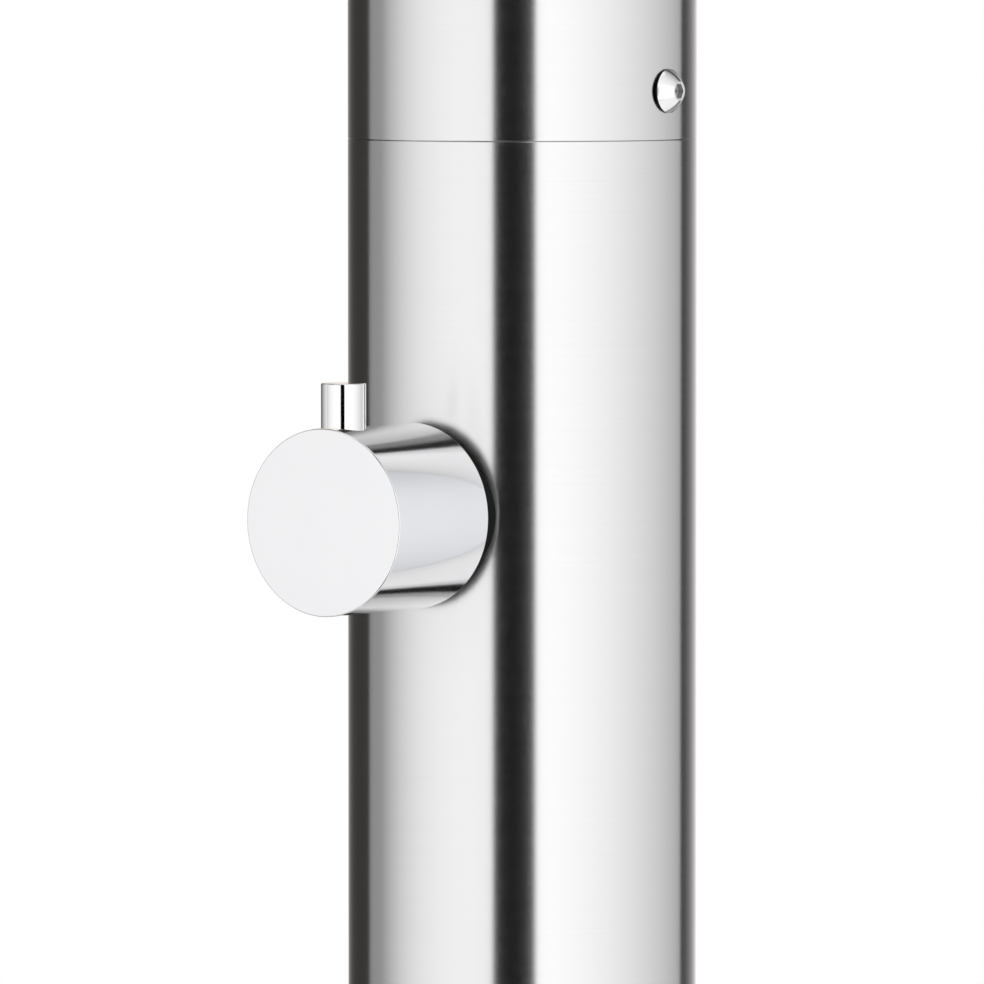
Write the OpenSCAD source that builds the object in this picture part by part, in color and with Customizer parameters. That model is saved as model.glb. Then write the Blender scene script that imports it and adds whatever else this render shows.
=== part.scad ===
// Outdoor shower post: a two-part round column on a floor plate, with a one-knob mixer at its front
// and a round rain head on a bent arm.
// Z is up, the front faces -Y, and the origin is on the post's axis in the floor plate's underside.

/* [Post] */
// Outside diameter of both column tubes
post_d = 76.1; // [72:0.1:90]
// Wall of both column tubes
post_wall = 2; // [1.5:0.1:3]
// Height of the joint between the lower and the upper tube
seam_z = 1149.7; // [1100:0.1:1250]
// Height of the upper tube's top end
post_top = 2180; // [2100:1:2300]
// Gap left between the two tubes at the joint
seam_gap = 0.2; // [0.1:0.1:0.6]
// Broken edge at each end of the tubes
edge_chamfer = 0.2; // [0.1:0.1:0.6]

/* [Floor plate] */
// Diameter of the floor plate
base_d = 220; // [210:1:260]
// Thickness of the floor plate
base_t = 8; // [6:0.5:12]
// Bevel round the plate's top edge
base_chamfer = 1.5; // [0.5:0.1:3]
// Diameter of the circle that the anchor holes lie on
anchor_pcd = 180; // [150:1:186]
// Number of anchor holes
anchor_count = 4; // [3:1:8]
// Diameter of each anchor hole
anchor_hole_d = 11; // [9:0.5:14]
// Diameter of the hole that the supply pipes come up through
passage_d = 60; // [56:1:64]
// Height and width of the weld between plate and tube
weld_leg = 4; // [2:0.5:6]

/* [Tube joint] */
// Length of the sleeve inside the joint
sleeve_len = 100; // [80:1:110]
// Wall of the sleeve
sleeve_wall = 2.5; // [2:0.1:3.5]
// Height of the two screws above the joint
screw_rise = 10.7; // [8:0.1:30]
// Thread diameter of the two screws
screw_d = 5; // [4:0.5:6]
// Length of the screws under the head
screw_len = 10; // [9:0.5:12]
// Diameter of the screws' heads
screw_head_d = 9.5; // [9.3:0.1:10.5]
// Height of the screws' heads
screw_head_h = 3.1; // [3:0.05:3.4]
// Height of the upright rim of the heads, below their dome
screw_rim_h = 0.45; // [0.35:0.05:0.7]
// Diameter of the heads' flat top
screw_crown_d = 4; // [3.8:0.1:4.4]
// Slope of the dome at its foot, in degrees
screw_slope = 53; // [51:1:58]
// Size of the screws' hexagon sockets
screw_key = 3; // [2.5:0.1:4]
// Depth of the sockets
screw_key_depth = 1.6; // [1:0.1:2]
// Size across the flats of the nuts in the sleeve
joint_nut_af = 8; // [8:0.1:10]
// Thickness of the nuts in the sleeve
joint_nut_t = 4; // [3:0.1:5]

/* [Knob] */
// Distance of the knob's axis below the joint
knob_drop = 80.2; // [79:0.1:100]
// Diameter of the knob
knob_d = 40; // [39:0.1:46]
// Length of the knob from its front face to its back edge
knob_len = 32.8; // [31:0.1:40]
// Gap between the knob's back edge and the post
knob_gap = 3.6; // [2.5:0.1:5]
// Wall of the knob's hollow rear
knob_wall = 1.7; // [1.2:0.1:1.8]
// Broken edge round the knob's front and back
knob_chamfer = 0.35; // [0.2:0.05:0.8]
// Diameter of the lever pin on the knob
lever_d = 9.6; // [8:0.1:12]
// Length of the lever pin outside the knob
lever_out = 9.4; // [6:0.1:20]
// Distance of the lever pin's axis behind the knob's face
lever_setback = 7.6; // [6.5:0.1:8.5]
// Broken edge round the lever pin's end
lever_chamfer = 0.3; // [0.1:0.05:0.6]
// Diameter of the lever pin's thread
lever_stud_d = 6; // [5:0.5:7]
// Length of the lever pin's thread
lever_stud_len = 9; // [6:0.5:10]
// Diameter of the set screw that holds the knob
grub_d = 5; // [4:0.5:5]
// Length of the set screw
grub_len = 10; // [6:0.5:12]
// Size of the set screw's hexagon socket
grub_key = 2.5; // [2:0.1:2.6]
// Turn of the knob from shut to full hot
knob_turn = 100; // [80:1:120]

/* [Mixer] */
// Diameter of the mixer's barrel
barrel_d = 41; // [40:0.5:42]
// Length of the barrel behind the post's axis
barrel_back = 14; // [13:0.5:16]
// Diameter of the threaded neck
neck_d = 30.4; // [30:0.1:30.8]
// Length of the neck outside the post
neck_out = 14; // [13.5:0.1:15]
// Diameter of the two saddle rings inside and outside the post
saddle_d = 38; // [36:0.5:39]
// Least thickness of the saddle ring inside the post
saddle_t = 3; // [2:0.1:4]
// Diameter of the ring nut and of the saddle ring outside the post
ring_nut_d = 33.4; // [33:0.1:34]
// Thickness of the ring nut
ring_nut_t = 5; // [3:0.1:6]
// Least thickness of the saddle ring outside the post
outer_saddle_t = 2.2; // [1.5:0.1:3]
// Diameter of the cartridge
cartridge_d = 25; // [24:0.1:25.4]
// Length of the cartridge inside its seat
cartridge_len = 22; // [20:0.5:24]
// Diameter of the cartridge's front tower
tower_d = 16; // [14:0.1:17]
// Length of the tower in front of the neck
tower_out = 4.5; // [3.5:0.1:5]
// Thread diameter of the cartridge nut
cartridge_nut_d = 27; // [26.6:0.1:27.2]
// Depth of the cartridge nut in the neck
cartridge_nut_depth = 8; // [6:0.5:10]
// Diameter of the spindle
spindle_d = 8; // [7:0.1:9]
// Depth of the flat on the spindle
spindle_flat = 0.6; // [0.3:0.1:1]
// Diameter of the ceramic discs
disc_d = 19.6; // [19:0.1:20]
// Thickness of each ceramic disc
disc_t = 4; // [3:0.1:4.5]

/* [Water ways] */
// Distance of the hot and the cold line from the post's axis
port_x = 16; // [15.5:0.1:17]
// Diameter of the half-inch pipe threads
pipe_thread_d = 20.9; // [20.5:0.1:21.5]
// Size across the flats of the union nuts
union_af = 24; // [23.5:0.1:25]
// Outside diameter of the braided hoses
hose_d = 12; // [11:0.1:13]
// Bore of the braided hoses
hose_bore = 8; // [7:0.1:8.5]
// Height of the plate that carries the inlets
inlet_z = 90; // [70:1:150]
// Thickness of the plate that carries the inlets
inlet_plate_t = 4; // [3:0.5:6]
// Length of the inlet threads below their hexagons
inlet_thread_len = 14; // [10:0.5:18]

/* [Arm] */
// Diameter of the arm
arm_d = 25; // [24:0.1:28]
// Wall of the arm
arm_wall = 2; // [1.6:0.1:2.4]
// Depth of the arm's axis below the upper tube's top end
arm_depth = 70; // [60:1:150]
// Distance of the head's axis in front of the post's axis
arm_reach = 400; // [300:1:450]
// Radius of the arm's bend, on its axis
arm_bend = 50; // [45:1:80]
// Straight length of the arm below its bend
arm_drop = 22; // [18:1:60]
// Diameter of the collar where the arm meets the post
collar_d = 44; // [40:0.5:50]
// Length of the collar outside the post
collar_len = 8; // [6:0.5:12]

/* [Rain head] */
// Diameter of the rain head
head_d = 250; // [220:1:300]
// Height of the rain head's rim
head_h = 10; // [9:0.5:14]
// Sheet thickness of the head
head_sheet = 1.5; // [1:0.1:2]
// Diameter of the ball
ball_d = 24; // [23.5:0.1:25]
// Tilt of the head each way
head_tilt = 12; // [6:1:12]
// Rings of nozzles round the middle one
nozzle_rings = 5; // [2:1:6]
// Distance from one ring of nozzles to the next
nozzle_pitch = 21; // [14:0.5:21]
// Diameter of a nozzle
nozzle_d = 3.4; // [2.5:0.1:4.5]
// Length of a nozzle below the spray plate
nozzle_out = 2.2; // [1:0.1:4]
// Number of screws that hold the spray plate
spray_screw_count = 6; // [4:1:12]
// Thread diameter of the spray plate's screws
spray_screw_d = 3; // [2.5:0.1:3.5]

/* [Hidden] */
$fn = 96;

steel = [0.74, 0.74, 0.75];
bright_steel = [0.86, 0.86, 0.88];
brass = [0.78, 0.62, 0.35];
rubber = [0.09, 0.09, 0.1];
braid = [0.66, 0.67, 0.7];
plastic = [0.82, 0.82, 0.8];
ceramic = [0.93, 0.93, 0.9];
silicone = [0.36, 0.37, 0.39];

// overrun of every cut, and the clearances that the fits share
cut = 1;
slip = 0.15;
thread_slip = 0.1;
run_slip = 0.08;
screw_slip = 0.2;

// post
post_r = post_d / 2;
post_ri = post_r - post_wall;
post_foot = base_t;

// joint
sleeve_r = post_ri - slip;
sleeve_ri = sleeve_r - sleeve_wall;
sleeve_lead = 1;
screw_z = seam_z + screw_rise;
screw_head_steps = 6;
screw_lean = atan2(screw_head_h - screw_rim_h, (screw_head_d - screw_crown_d) / 2);
screw_dome_r = (screw_head_h - screw_rim_h) / sin(screw_lean) / 2 / sin(screw_slope - screw_lean);
joint_nut_corner = joint_nut_af / sqrt(3);
joint_nut_face = sqrt(sleeve_ri * sleeve_ri - joint_nut_corner * joint_nut_corner) - thread_slip;

// cap
cap_t = 3;
cap_chamfer = 1;
cap_skirt = 16;
cap_wall = 4;
cap_seal_r = 1;
cap_seal_depth = 8;
cap_groove_w = 2.4;

// pipe thread, union nut and hose end, measured from the face of the nipple that carries them
thread_r = pipe_thread_d / 2;
thread_ri = 6.5;
thread_len = 12;
washer_t = 2;
flange_r = 9;
flange_t = 2;
union_lip = 2.5;
union_grip = 10;
union_r = thread_r + thread_slip;
insert_neck_r = hose_d / 2;
insert_neck = union_lip + thread_slip + 1;
insert_bore_r = 2.6;
insert_grip = 22;
ferrule_wall = 0.9;
hose_seat = washer_t + flange_t + insert_neck;

// inlets
support_w = 4;
support_h = 6;
nipple_hex_t = 5;
nipple_hex_rim = 2.5;
nipple_hex_af = pipe_thread_d + 2 * nipple_hex_rim;
locknut_t = 5;
nipple_top = inlet_z + inlet_plate_t + locknut_t + thread_len;
nipple_foot = inlet_z - nipple_hex_t - inlet_thread_len;
valve_len = 16;
valve_bore_r = 3;

// mixer, measured along the knob's axis from the post's axis
knob_z = seam_z - knob_drop;
saddle_r = saddle_d / 2;
barrel_r = barrel_d / 2;
neck_r = neck_d / 2;
neck_hole_r = neck_r + screw_slip;
shoulder = sqrt(post_ri * post_ri - saddle_r * saddle_r) - saddle_t;
neck_end = post_r + neck_out;
seat_front = neck_end - cartridge_nut_depth;
seat_floor = seat_front - cartridge_len;
cartridge_r = cartridge_d / 2;
boss_r = 12;
boss_reach = 30;
boss_rise = 4.4;
nozzle_bore_r = 5;
way_r = 2.5;
way_side_r = 2.2;
way_x = 6.5;
way_low = -3;
way_high = 6.5;
mixer_inlet = knob_z - boss_reach - thread_len;
mixer_outlet = knob_z + boss_reach + thread_len;
outer_saddle_flat = post_r + outer_saddle_t;
ring_nut_r = ring_nut_d / 2;
ring_nut_notch = 4;
ring_nut_notches = 4;

// cartridge
seal_t = 2;
seal_d = 22;
disc_r = disc_d / 2;
disc_gap = 0.05;
shell_ri = disc_r + 0.4;
driver_gap = 0.3;
fixed_disc_z = seat_floor + seal_t;
moving_disc_z = fixed_disc_z + disc_t + disc_gap;
driver_z = moving_disc_z + disc_t;
driver_t = 5;
driver_r = 8.4;
stop_r = 9.5;
stop_gap = 0.5;
stop_play = 1;
lug_arc = 30;
shell_roof = driver_z + driver_t + driver_gap;
tower_end = neck_end + tower_out;
tower_r = tower_d / 2;
spindle_r = spindle_d / 2;
stem_seal_r = spindle_r + 2.2;
stem_seal_t = 3;
stem_seal_z = tower_end - 7;
pocket_depth = 1.5;
pocket_share = 0.7;
cartridge_nut_r = cartridge_nut_d / 2;
nut_flange_r = neck_r - 0.5;
nut_flange_t = 2.5;
nut_slot = 4;
nut_slots = 4;

// knob
knob_r = knob_d / 2;
knob_back = post_r + knob_gap;
knob_front = knob_back + knob_len;
knob_floor = tower_end + 2;
knob_ri = knob_r - knob_wall;
spindle_end = knob_front - 5;
socket_gap = 0.5;
lever_a = knob_front - lever_setback;
lever_foot = knob_r - 0.8;
lever_hole_gap = 0.6;
grub_tip = spindle_r - spindle_flat + run_slip;
grub_key_depth = 2.5;

// arm
arm_z = post_top - arm_depth;
arm_r = arm_d / 2;
arm_ri = arm_r - arm_wall;
arm_foot = 18;
arm_end = arm_z - arm_bend - arm_drop;
arm_saddle_r = 19;
arm_saddle_t = 2;
arm_flat = sqrt(post_ri * post_ri - arm_saddle_r * arm_saddle_r) - arm_saddle_t;
arm_nut_t = 6;
arm_nut_af = 36;
collar_chamfer = 1;
elbow_r = 13;
elbow_bore_r = 6.5;
elbow_stub = 12;
elbow_drop = 24;
elbow_port = arm_z - elbow_drop - thread_len;
arm_nipple_r = arm_ri - slip;
arm_nipple_in = 12;
arm_nipple_out = 10;

// ball joint, measured from the ball's centre
ball_r = ball_d / 2;
stem_r = 13.5;
stem_len = 14;
stem_chamfer = 1;
stem_neck_r = 7;
stem_neck_len = 7;
stem_roof = 1;
ball_bore_r = 4;
ball_z = arm_end - stem_len - stem_neck_len - sqrt(ball_r * ball_r - stem_neck_r * stem_neck_r);
seat_t = 2;
seat_top = -3.4;
seat_foot = -9;
cup_r = ball_r + seat_t + 2 * run_slip;
neck_top = 0.8;
neck_thread_r = cup_r + 2.6;
neck_foot = -20;
neck_bore_r = 7.5;
neck_flange_r = 24;
neck_flange_t = 2.5;
collar_nut_wall = 3;
collar_nut_foot = -10;
collar_nut_top = 7;
collar_nut_chamfer = 0.8;
collar_grips = 12;
collar_grip_r = 1.6;
lip_gap = 0.4;
regulator_r = 8.8;
regulator_t = 4;
regulator_hole_r = 1.1;
regulator_holes = 6;
regulator_ring_share = 0.6;
regulator_gap = 0.6;
regulator_foot = -ball_r - regulator_gap - regulator_t;

// head, measured from the top of its sheet
head_r = head_d / 2;
head_top = ball_z + neck_foot;
head_chamfer = 0.8;
mat_t = 1.5;
spray_t = 2;
spray_recess = 0.6;
spray_r = head_r - head_sheet - slip;
spray_z = head_top - head_h + spray_recess;
gasket_w = 2;
ledge_w = 3;
ledge_z = spray_z + spray_t + mat_t;
mat_r = spray_r - gasket_w - slip;
spray_screw_r = spray_screw_d / 2;
spray_screw_ring = mat_r - 8;
spray_head_r = 2.75;
spray_head_h = 1.6;
spray_key = 2;
spray_key_depth = 1;
spray_screw_len = 6;
spray_boss_r = 3.2;
spray_boss_roof = 1;
nozzle_r = nozzle_d / 2;
nozzle_tip_share = 0.62;
nozzle_jet_r = 0.5;
nozzle_per_ring = 6;
jet_fn = 16;
nozzle_fn = 24;

// shared shapes

// the knob's axis: local z runs out of the post's front, and local y runs up
module at_knob() {
    translate([0, 0, knob_z])
        rotate([90, 0, 0])
            children();
}

// the arm's axis, turned the same way
module at_arm() {
    translate([0, 0, arm_z])
        rotate([90, 0, 0])
            children();
}

module at_ball() {
    translate([0, -arm_reach, ball_z])
        children();
}

// a ring of rectangular section between two heights
module ring(r_out, r_in, z_low, z_high) {
    rotate_extrude()
        translate([r_in, z_low])
            square([r_out - r_in, z_high - z_low]);
}

// a bore cut from one height to another, run past both
module bore(r, z_low, z_high) {
    translate([0, 0, z_low - cut])
        cylinder(r = r, h = z_high - z_low + 2 * cut);
}

// a hexagonal bar by its size across the flats, with two flats facing along x
module hex_bar(af, h) {
    rotate([0, 0, 30])
        cylinder(r = af / sqrt(3), h = h, $fn = 6);
}

// a wedge of a circle, as a flat outline: four points are enough up to 150 degrees
module wedge(r, from, arc) {
    reach = 2 * r;
    polygon([
        [0, 0],
        for (i = [0:3]) reach * [cos(from + arc * i / 3), sin(from + arc * i / 3)]
    ]);
}

// the middle nozzle and the rings round it
module each_nozzle() {
    children();
    for (k = [1:nozzle_rings], i = [0:nozzle_per_ring * k - 1])
        rotate([0, 0, 360 * i / (nozzle_per_ring * k)])
            translate([k * nozzle_pitch, 0, 0])
                children();
}

module each_spray_screw() {
    for (i = [0:spray_screw_count - 1])
        rotate([0, 0, 360 * (i + 0.5) / spray_screw_count])
            translate([spray_screw_ring, 0, 0])
                children();
}

// both sides of the post, left and right
module each_side() {
    for (turn = [0, 180])
        rotate([0, 0, turn])
            children();
}

// post and floor plate

module base_plate() {
    color(steel)
        difference() {
            rotate_extrude()
                polygon([
                    [passage_d / 2, 0],
                    [base_d / 2, 0],
                    [base_d / 2, base_t - base_chamfer],
                    [base_d / 2 - base_chamfer, base_t],
                    [passage_d / 2, base_t]
                ]);
            for (i = [0:anchor_count - 1])
                rotate([0, 0, 360 * (i + 0.5) / anchor_count])
                    translate([anchor_pcd / 2, 0, 0])
                        bore(anchor_hole_d / 2, 0, base_t);
        }
}

module base_weld() {
    color(steel)
        rotate_extrude()
            polygon([
                [post_r + run_slip, base_t],
                [post_r + weld_leg, base_t],
                [post_r + run_slip, base_t + weld_leg]
            ]);
}

module lower_tube() {
    color(steel)
        difference() {
            rotate_extrude()
                polygon([
                    [post_ri, post_foot],
                    [post_r, post_foot],
                    [post_r, seam_z - edge_chamfer],
                    [post_r - edge_chamfer, seam_z],
                    [post_ri, seam_z]
                ]);
            at_knob()
                bore(neck_hole_r, post_ri / 2, post_r);
        }
}

module upper_tube() {
    foot = seam_z + seam_gap;
    color(steel)
        difference() {
            rotate_extrude()
                polygon([
                    [post_ri, foot],
                    [post_r - edge_chamfer, foot],
                    [post_r, foot + edge_chamfer],
                    [post_r, post_top],
                    [post_ri, post_top]
                ]);
            each_side()
                translate([0, 0, screw_z])
                    rotate([0, 90, 0])
                        bore(screw_d / 2 + screw_slip, post_ri, post_r);
            at_arm()
                bore(arm_r + screw_slip, post_ri / 2, post_r);
        }
}

module joint_sleeve() {
    low = seam_z - sleeve_len / 2;
    high = seam_z + sleeve_len / 2;
    color(steel)
        difference() {
            rotate_extrude()
                polygon([
                    [sleeve_ri, low],
                    [sleeve_r, low],
                    [sleeve_r, high - sleeve_lead],
                    [sleeve_r - sleeve_lead, high],
                    [sleeve_ri, high]
                ]);
            each_side()
                translate([0, 0, screw_z])
                    rotate([0, 90, 0])
                        bore(screw_d / 2 + screw_slip, sleeve_ri - cut, sleeve_r);
        }
}

module sleeve_nuts() {
    color(steel)
        each_side()
            translate([joint_nut_face - joint_nut_t, 0, screw_z])
                rotate([0, 90, 0])
                    difference() {
                        hex_bar(joint_nut_af, joint_nut_t);
                        bore(screw_d / 2 + thread_slip, 0, joint_nut_t);
                    }
}

module joint_screws() {
    head_r = screw_head_d / 2;
    dome_x = head_r - screw_dome_r * sin(screw_slope);
    dome_z = screw_rim_h - screw_dome_r * cos(screw_slope);
    slope_step = 2 * (screw_slope - screw_lean) / screw_head_steps;
    color(bright_steel)
        each_side()
            translate([post_r, 0, screw_z])
                rotate([0, 90, 0])
                    difference() {
                        rotate_extrude()
                            polygon([
                                [0, -screw_len],
                                [screw_d / 2, -screw_len],
                                [screw_d / 2, 0],
                                [head_r, 0],
                                for (i = [0:screw_head_steps])
                                    [
                                        dome_x + screw_dome_r * sin(screw_slope - i * slope_step),
                                        dome_z + screw_dome_r * cos(screw_slope - i * slope_step)
                                    ],
                                [0, screw_head_h]
                            ]);
                        translate([0, 0, screw_head_h - screw_key_depth])
                            hex_bar(screw_key, screw_key_depth + cut);
                    }
}

module top_cap() {
    color(steel)
        difference() {
            rotate_extrude()
                polygon([
                    [0, post_top + cap_t],
                    [0, post_top],
                    [sleeve_r - cap_wall, post_top],
                    [sleeve_r - cap_wall, post_top - cap_skirt],
                    [sleeve_r, post_top - cap_skirt],
                    [sleeve_r, post_top],
                    [post_r, post_top],
                    [post_r, post_top + cap_t - cap_chamfer],
                    [post_r - cap_chamfer, post_top + cap_t]
                ]);
            ring(post_r, post_ri - 2 * cap_seal_r - slip, post_top - cap_seal_depth - cap_groove_w / 2,
                post_top - cap_seal_depth + cap_groove_w / 2);
        }
}

module cap_seal() {
    color(rubber)
        translate([0, 0, post_top - cap_seal_depth])
            rotate_extrude()
                translate([post_ri - cap_seal_r - slip / 2, 0])
                    circle(r = cap_seal_r);
}

// water ways

module support_ring() {
    color(steel)
        ring(sleeve_r, sleeve_r - support_w, inlet_z - support_h, inlet_z);
}

module inlet_plate() {
    color(steel)
        difference() {
            translate([0, 0, inlet_z])
                cylinder(r = sleeve_r, h = inlet_plate_t);
            each_side()
                translate([port_x, 0, 0])
                    bore(thread_r + screw_slip, inlet_z, inlet_z + inlet_plate_t);
        }
}

module inlet_nipples() {
    color(brass)
        each_side()
            translate([port_x, 0, 0])
                difference() {
                    union() {
                        translate([0, 0, nipple_foot])
                            cylinder(r = thread_r, h = nipple_top - nipple_foot);
                        translate([0, 0, inlet_z - nipple_hex_t])
                            hex_bar(nipple_hex_af, nipple_hex_t);
                    }
                    bore(thread_ri, nipple_foot, nipple_top);
                }
}

module inlet_locknuts() {
    color(brass)
        each_side()
            translate([port_x, 0, inlet_z + inlet_plate_t])
                difference() {
                    hex_bar(union_af, locknut_t);
                    bore(union_r, 0, locknut_t);
                }
}

module check_valves() {
    color(plastic)
        each_side()
            translate([port_x, 0, 0])
                ring(thread_ri - run_slip, valve_bore_r, nipple_top - valve_len, nipple_top);
}

// the six hose ends: place along x, height of the nipple's face, and which way the hose leaves
hose_ends = [
    [-port_x, nipple_top, 0],
    [port_x, nipple_top, 0],
    [-port_x, mixer_inlet, 180],
    [port_x, mixer_inlet, 180],
    [0, mixer_outlet, 0],
    [0, elbow_port, 180]
];

module each_hose_end() {
    for (e = hose_ends)
        translate([e[0], 0, e[1]])
            rotate([e[2], 0, 0])
                children();
}

module hose(x, low, high) {
    color(braid)
        translate([x, 0, 0])
            ring(hose_d / 2, hose_bore / 2, low + hose_seat, high - hose_seat);
}

module cold_hose() {
    hose(port_x, nipple_top, mixer_inlet);
}

module hot_hose() {
    hose(-port_x, nipple_top, mixer_inlet);
}

module riser_hose() {
    hose(0, mixer_outlet, elbow_port);
}

module hose_inserts() {
    spigot_r = hose_bore / 2 - run_slip;
    color(brass)
        each_hose_end()
            rotate_extrude()
                polygon([
                    [insert_bore_r, washer_t],
                    [flange_r, washer_t],
                    [flange_r, washer_t + flange_t],
                    [insert_neck_r, washer_t + flange_t],
                    [insert_neck_r, hose_seat],
                    [spigot_r, hose_seat],
                    [spigot_r, hose_seat + insert_grip],
                    [insert_bore_r, hose_seat + insert_grip]
                ]);
}

module hose_ferrules() {
    ferrule_ri = hose_d / 2 + run_slip;
    color(bright_steel)
        each_hose_end()
            ring(ferrule_ri + ferrule_wall, ferrule_ri, hose_seat, hose_seat + insert_grip);
}

module union_nuts() {
    lip_face = washer_t + flange_t + thread_slip;
    color(bright_steel)
        each_hose_end()
            difference() {
                translate([0, 0, -union_grip])
                    hex_bar(union_af, union_grip + lip_face + union_lip);
                translate([0, 0, -union_grip - cut])
                    cylinder(r = union_r, h = union_grip + cut + lip_face);
                bore(insert_neck_r + thread_slip, lip_face, lip_face + union_lip);
            }
}

module hose_washers() {
    color(rubber)
        each_hose_end()
            ring(flange_r, thread_ri, 0, washer_t);
}

// mixer and cartridge

module mixer_body() {
    color(brass)
        difference() {
            union() {
                at_knob()
                    rotate_extrude()
                        polygon([
                            [0, -barrel_back],
                            [barrel_r, -barrel_back],
                            [barrel_r, shoulder],
                            [neck_r, shoulder],
                            [neck_r, neck_end],
                            [0, neck_end]
                        ]);
                each_side()
                    translate([port_x, 0, 0])
                        rotate_extrude()
                            polygon([
                                [0, mixer_inlet],
                                [thread_r, mixer_inlet],
                                [thread_r, mixer_inlet + thread_len],
                                [boss_r, mixer_inlet + thread_len],
                                [boss_r, knob_z + boss_rise],
                                [0, knob_z + boss_rise]
                            ]);
                rotate_extrude()
                    polygon([
                        [0, knob_z + boss_rise],
                        [boss_r, knob_z + boss_rise],
                        [boss_r, mixer_outlet - thread_len],
                        [thread_r, mixer_outlet - thread_len],
                        [thread_r, mixer_outlet],
                        [0, mixer_outlet]
                    ]);
            }
            at_knob() {
                rotate_extrude()
                    polygon([
                        [0, seat_floor],
                        [cartridge_r + run_slip, seat_floor],
                        [cartridge_r + run_slip, seat_front],
                        [cartridge_nut_r + thread_slip, seat_front],
                        [cartridge_nut_r + thread_slip, neck_end + cut],
                        [0, neck_end + cut]
                    ]);
                for (side = [-1, 1])
                    translate([side * way_x, way_low, 0])
                        cylinder(r = way_r, h = seat_floor + cut);
                translate([0, way_high, 0])
                    cylinder(r = way_r, h = seat_floor + cut);
            }
            for (side = [-1, 1]) {
                translate([side * port_x, 0, mixer_inlet - cut])
                    cylinder(r = nozzle_bore_r, h = knob_z + way_low + way_r + 2 * cut - mixer_inlet);
                translate([side * (way_x - way_side_r), 0, knob_z + way_low])
                    rotate([0, side * 90, 0])
                        cylinder(r = way_side_r, h = port_x - way_x + way_side_r);
            }
            translate([0, 0, knob_z + way_high - way_r - cut])
                cylinder(r = nozzle_bore_r, h = mixer_outlet + 2 * cut - knob_z - way_high + way_r);
        }
}

module inner_saddle() {
    color(rubber)
        intersection() {
            at_knob()
                ring(saddle_r, neck_hole_r, shoulder, post_ri);
            translate([0, 0, knob_z - saddle_d])
                cylinder(r = post_ri - run_slip, h = 2 * saddle_d);
        }
}

module outer_saddle() {
    color(rubber)
        difference() {
            at_knob()
                ring(ring_nut_r, neck_hole_r, post_ri / 2, outer_saddle_flat);
            translate([0, 0, knob_z - saddle_d])
                cylinder(r = post_r + run_slip, h = 2 * saddle_d);
        }
}

module ring_nut() {
    color(brass)
        at_knob()
            difference() {
                ring(ring_nut_r, neck_r + thread_slip, outer_saddle_flat, outer_saddle_flat + ring_nut_t);
                for (i = [0:ring_nut_notches - 1])
                    rotate([0, 0, 360 * (i + 0.5) / ring_nut_notches])
                        translate([neck_r + thread_slip + cut, -ring_nut_notch / 2, outer_saddle_flat + ring_nut_t / 2])
                            cube([ring_nut_r, ring_nut_notch, ring_nut_t]);
            }
}

// the three water ways through a disc of the cartridge
module disc_ways(z, t) {
    for (side = [-1, 1])
        translate([side * way_x, way_low, 0])
            bore(way_r, z, z + t);
    translate([0, way_high, 0])
        bore(way_r, z, z + t);
}

module base_seal() {
    color(rubber)
        at_knob()
            difference() {
                translate([0, 0, seat_floor])
                    cylinder(r = seal_d / 2, h = seal_t);
                disc_ways(seat_floor, seal_t);
            }
}

module fixed_disc() {
    color(ceramic)
        at_knob()
            difference() {
                translate([0, 0, fixed_disc_z])
                    cylinder(r = disc_r, h = disc_t);
                disc_ways(fixed_disc_z, disc_t);
            }
}

module moving_disc() {
    pocket_r = disc_r * pocket_share;
    color(ceramic)
        at_knob()
            difference() {
                translate([0, 0, moving_disc_z])
                    cylinder(r = disc_r, h = disc_t);
                translate([0, 0, moving_disc_z - cut])
                    intersection() {
                        cylinder(r = pocket_r, h = pocket_depth + cut);
                        translate([-pocket_r, way_low, 0])
                            cube([2 * pocket_r, 2 * pocket_r, pocket_depth + cut]);
                    }
            }
}

// the stops are ribs inside the cartridge on both sides of the spindle's lug, a turn apart
module stop_rib(from, arc) {
    translate([0, 0, driver_z])
        linear_extrude(height = driver_t)
            intersection() {
                difference() {
                    circle(r = shell_ri + cut / 2);
                    circle(r = driver_r + stop_gap);
                }
                wedge(shell_ri, from, arc);
            }
}

module cartridge_body() {
    color(plastic)
        at_knob() {
            difference() {
                union() {
                    translate([0, 0, fixed_disc_z])
                        cylinder(r = cartridge_r, h = seat_front - fixed_disc_z);
                    translate([0, 0, seat_front])
                        cylinder(r = tower_r, h = tower_end - seat_front);
                }
                translate([0, 0, fixed_disc_z - cut])
                    cylinder(r = shell_ri, h = shell_roof - fixed_disc_z + cut);
                bore(spindle_r + run_slip, shell_roof, tower_end);
                translate([0, 0, stem_seal_z])
                    cylinder(r = stem_seal_r + run_slip, h = tower_end);
            }
            stop_rib(90 - lug_arc - stop_play, lug_arc / 2);
            stop_rib(90 + lug_arc / 2 + stop_play + knob_turn, lug_arc);
        }
}

module spindle() {
    color(brass)
        at_knob()
            difference() {
                union() {
                    translate([0, 0, driver_z])
                        cylinder(r = driver_r, h = driver_t);
                    translate([0, 0, driver_z])
                        linear_extrude(height = driver_t)
                            intersection() {
                                circle(r = stop_r);
                                wedge(stop_r, 90 - lug_arc / 2, lug_arc);
                            }
                    translate([0, 0, driver_z + driver_t / 2])
                        cylinder(r = spindle_r, h = spindle_end - driver_z - driver_t / 2);
                }
                translate([-spindle_d, -spindle_d - spindle_r + spindle_flat, knob_floor])
                    cube([2 * spindle_d, spindle_d, spindle_d * 2]);
            }
}

module stem_seal() {
    color(rubber)
        at_knob()
            ring(stem_seal_r, spindle_r + run_slip, stem_seal_z, stem_seal_z + stem_seal_t);
}

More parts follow.
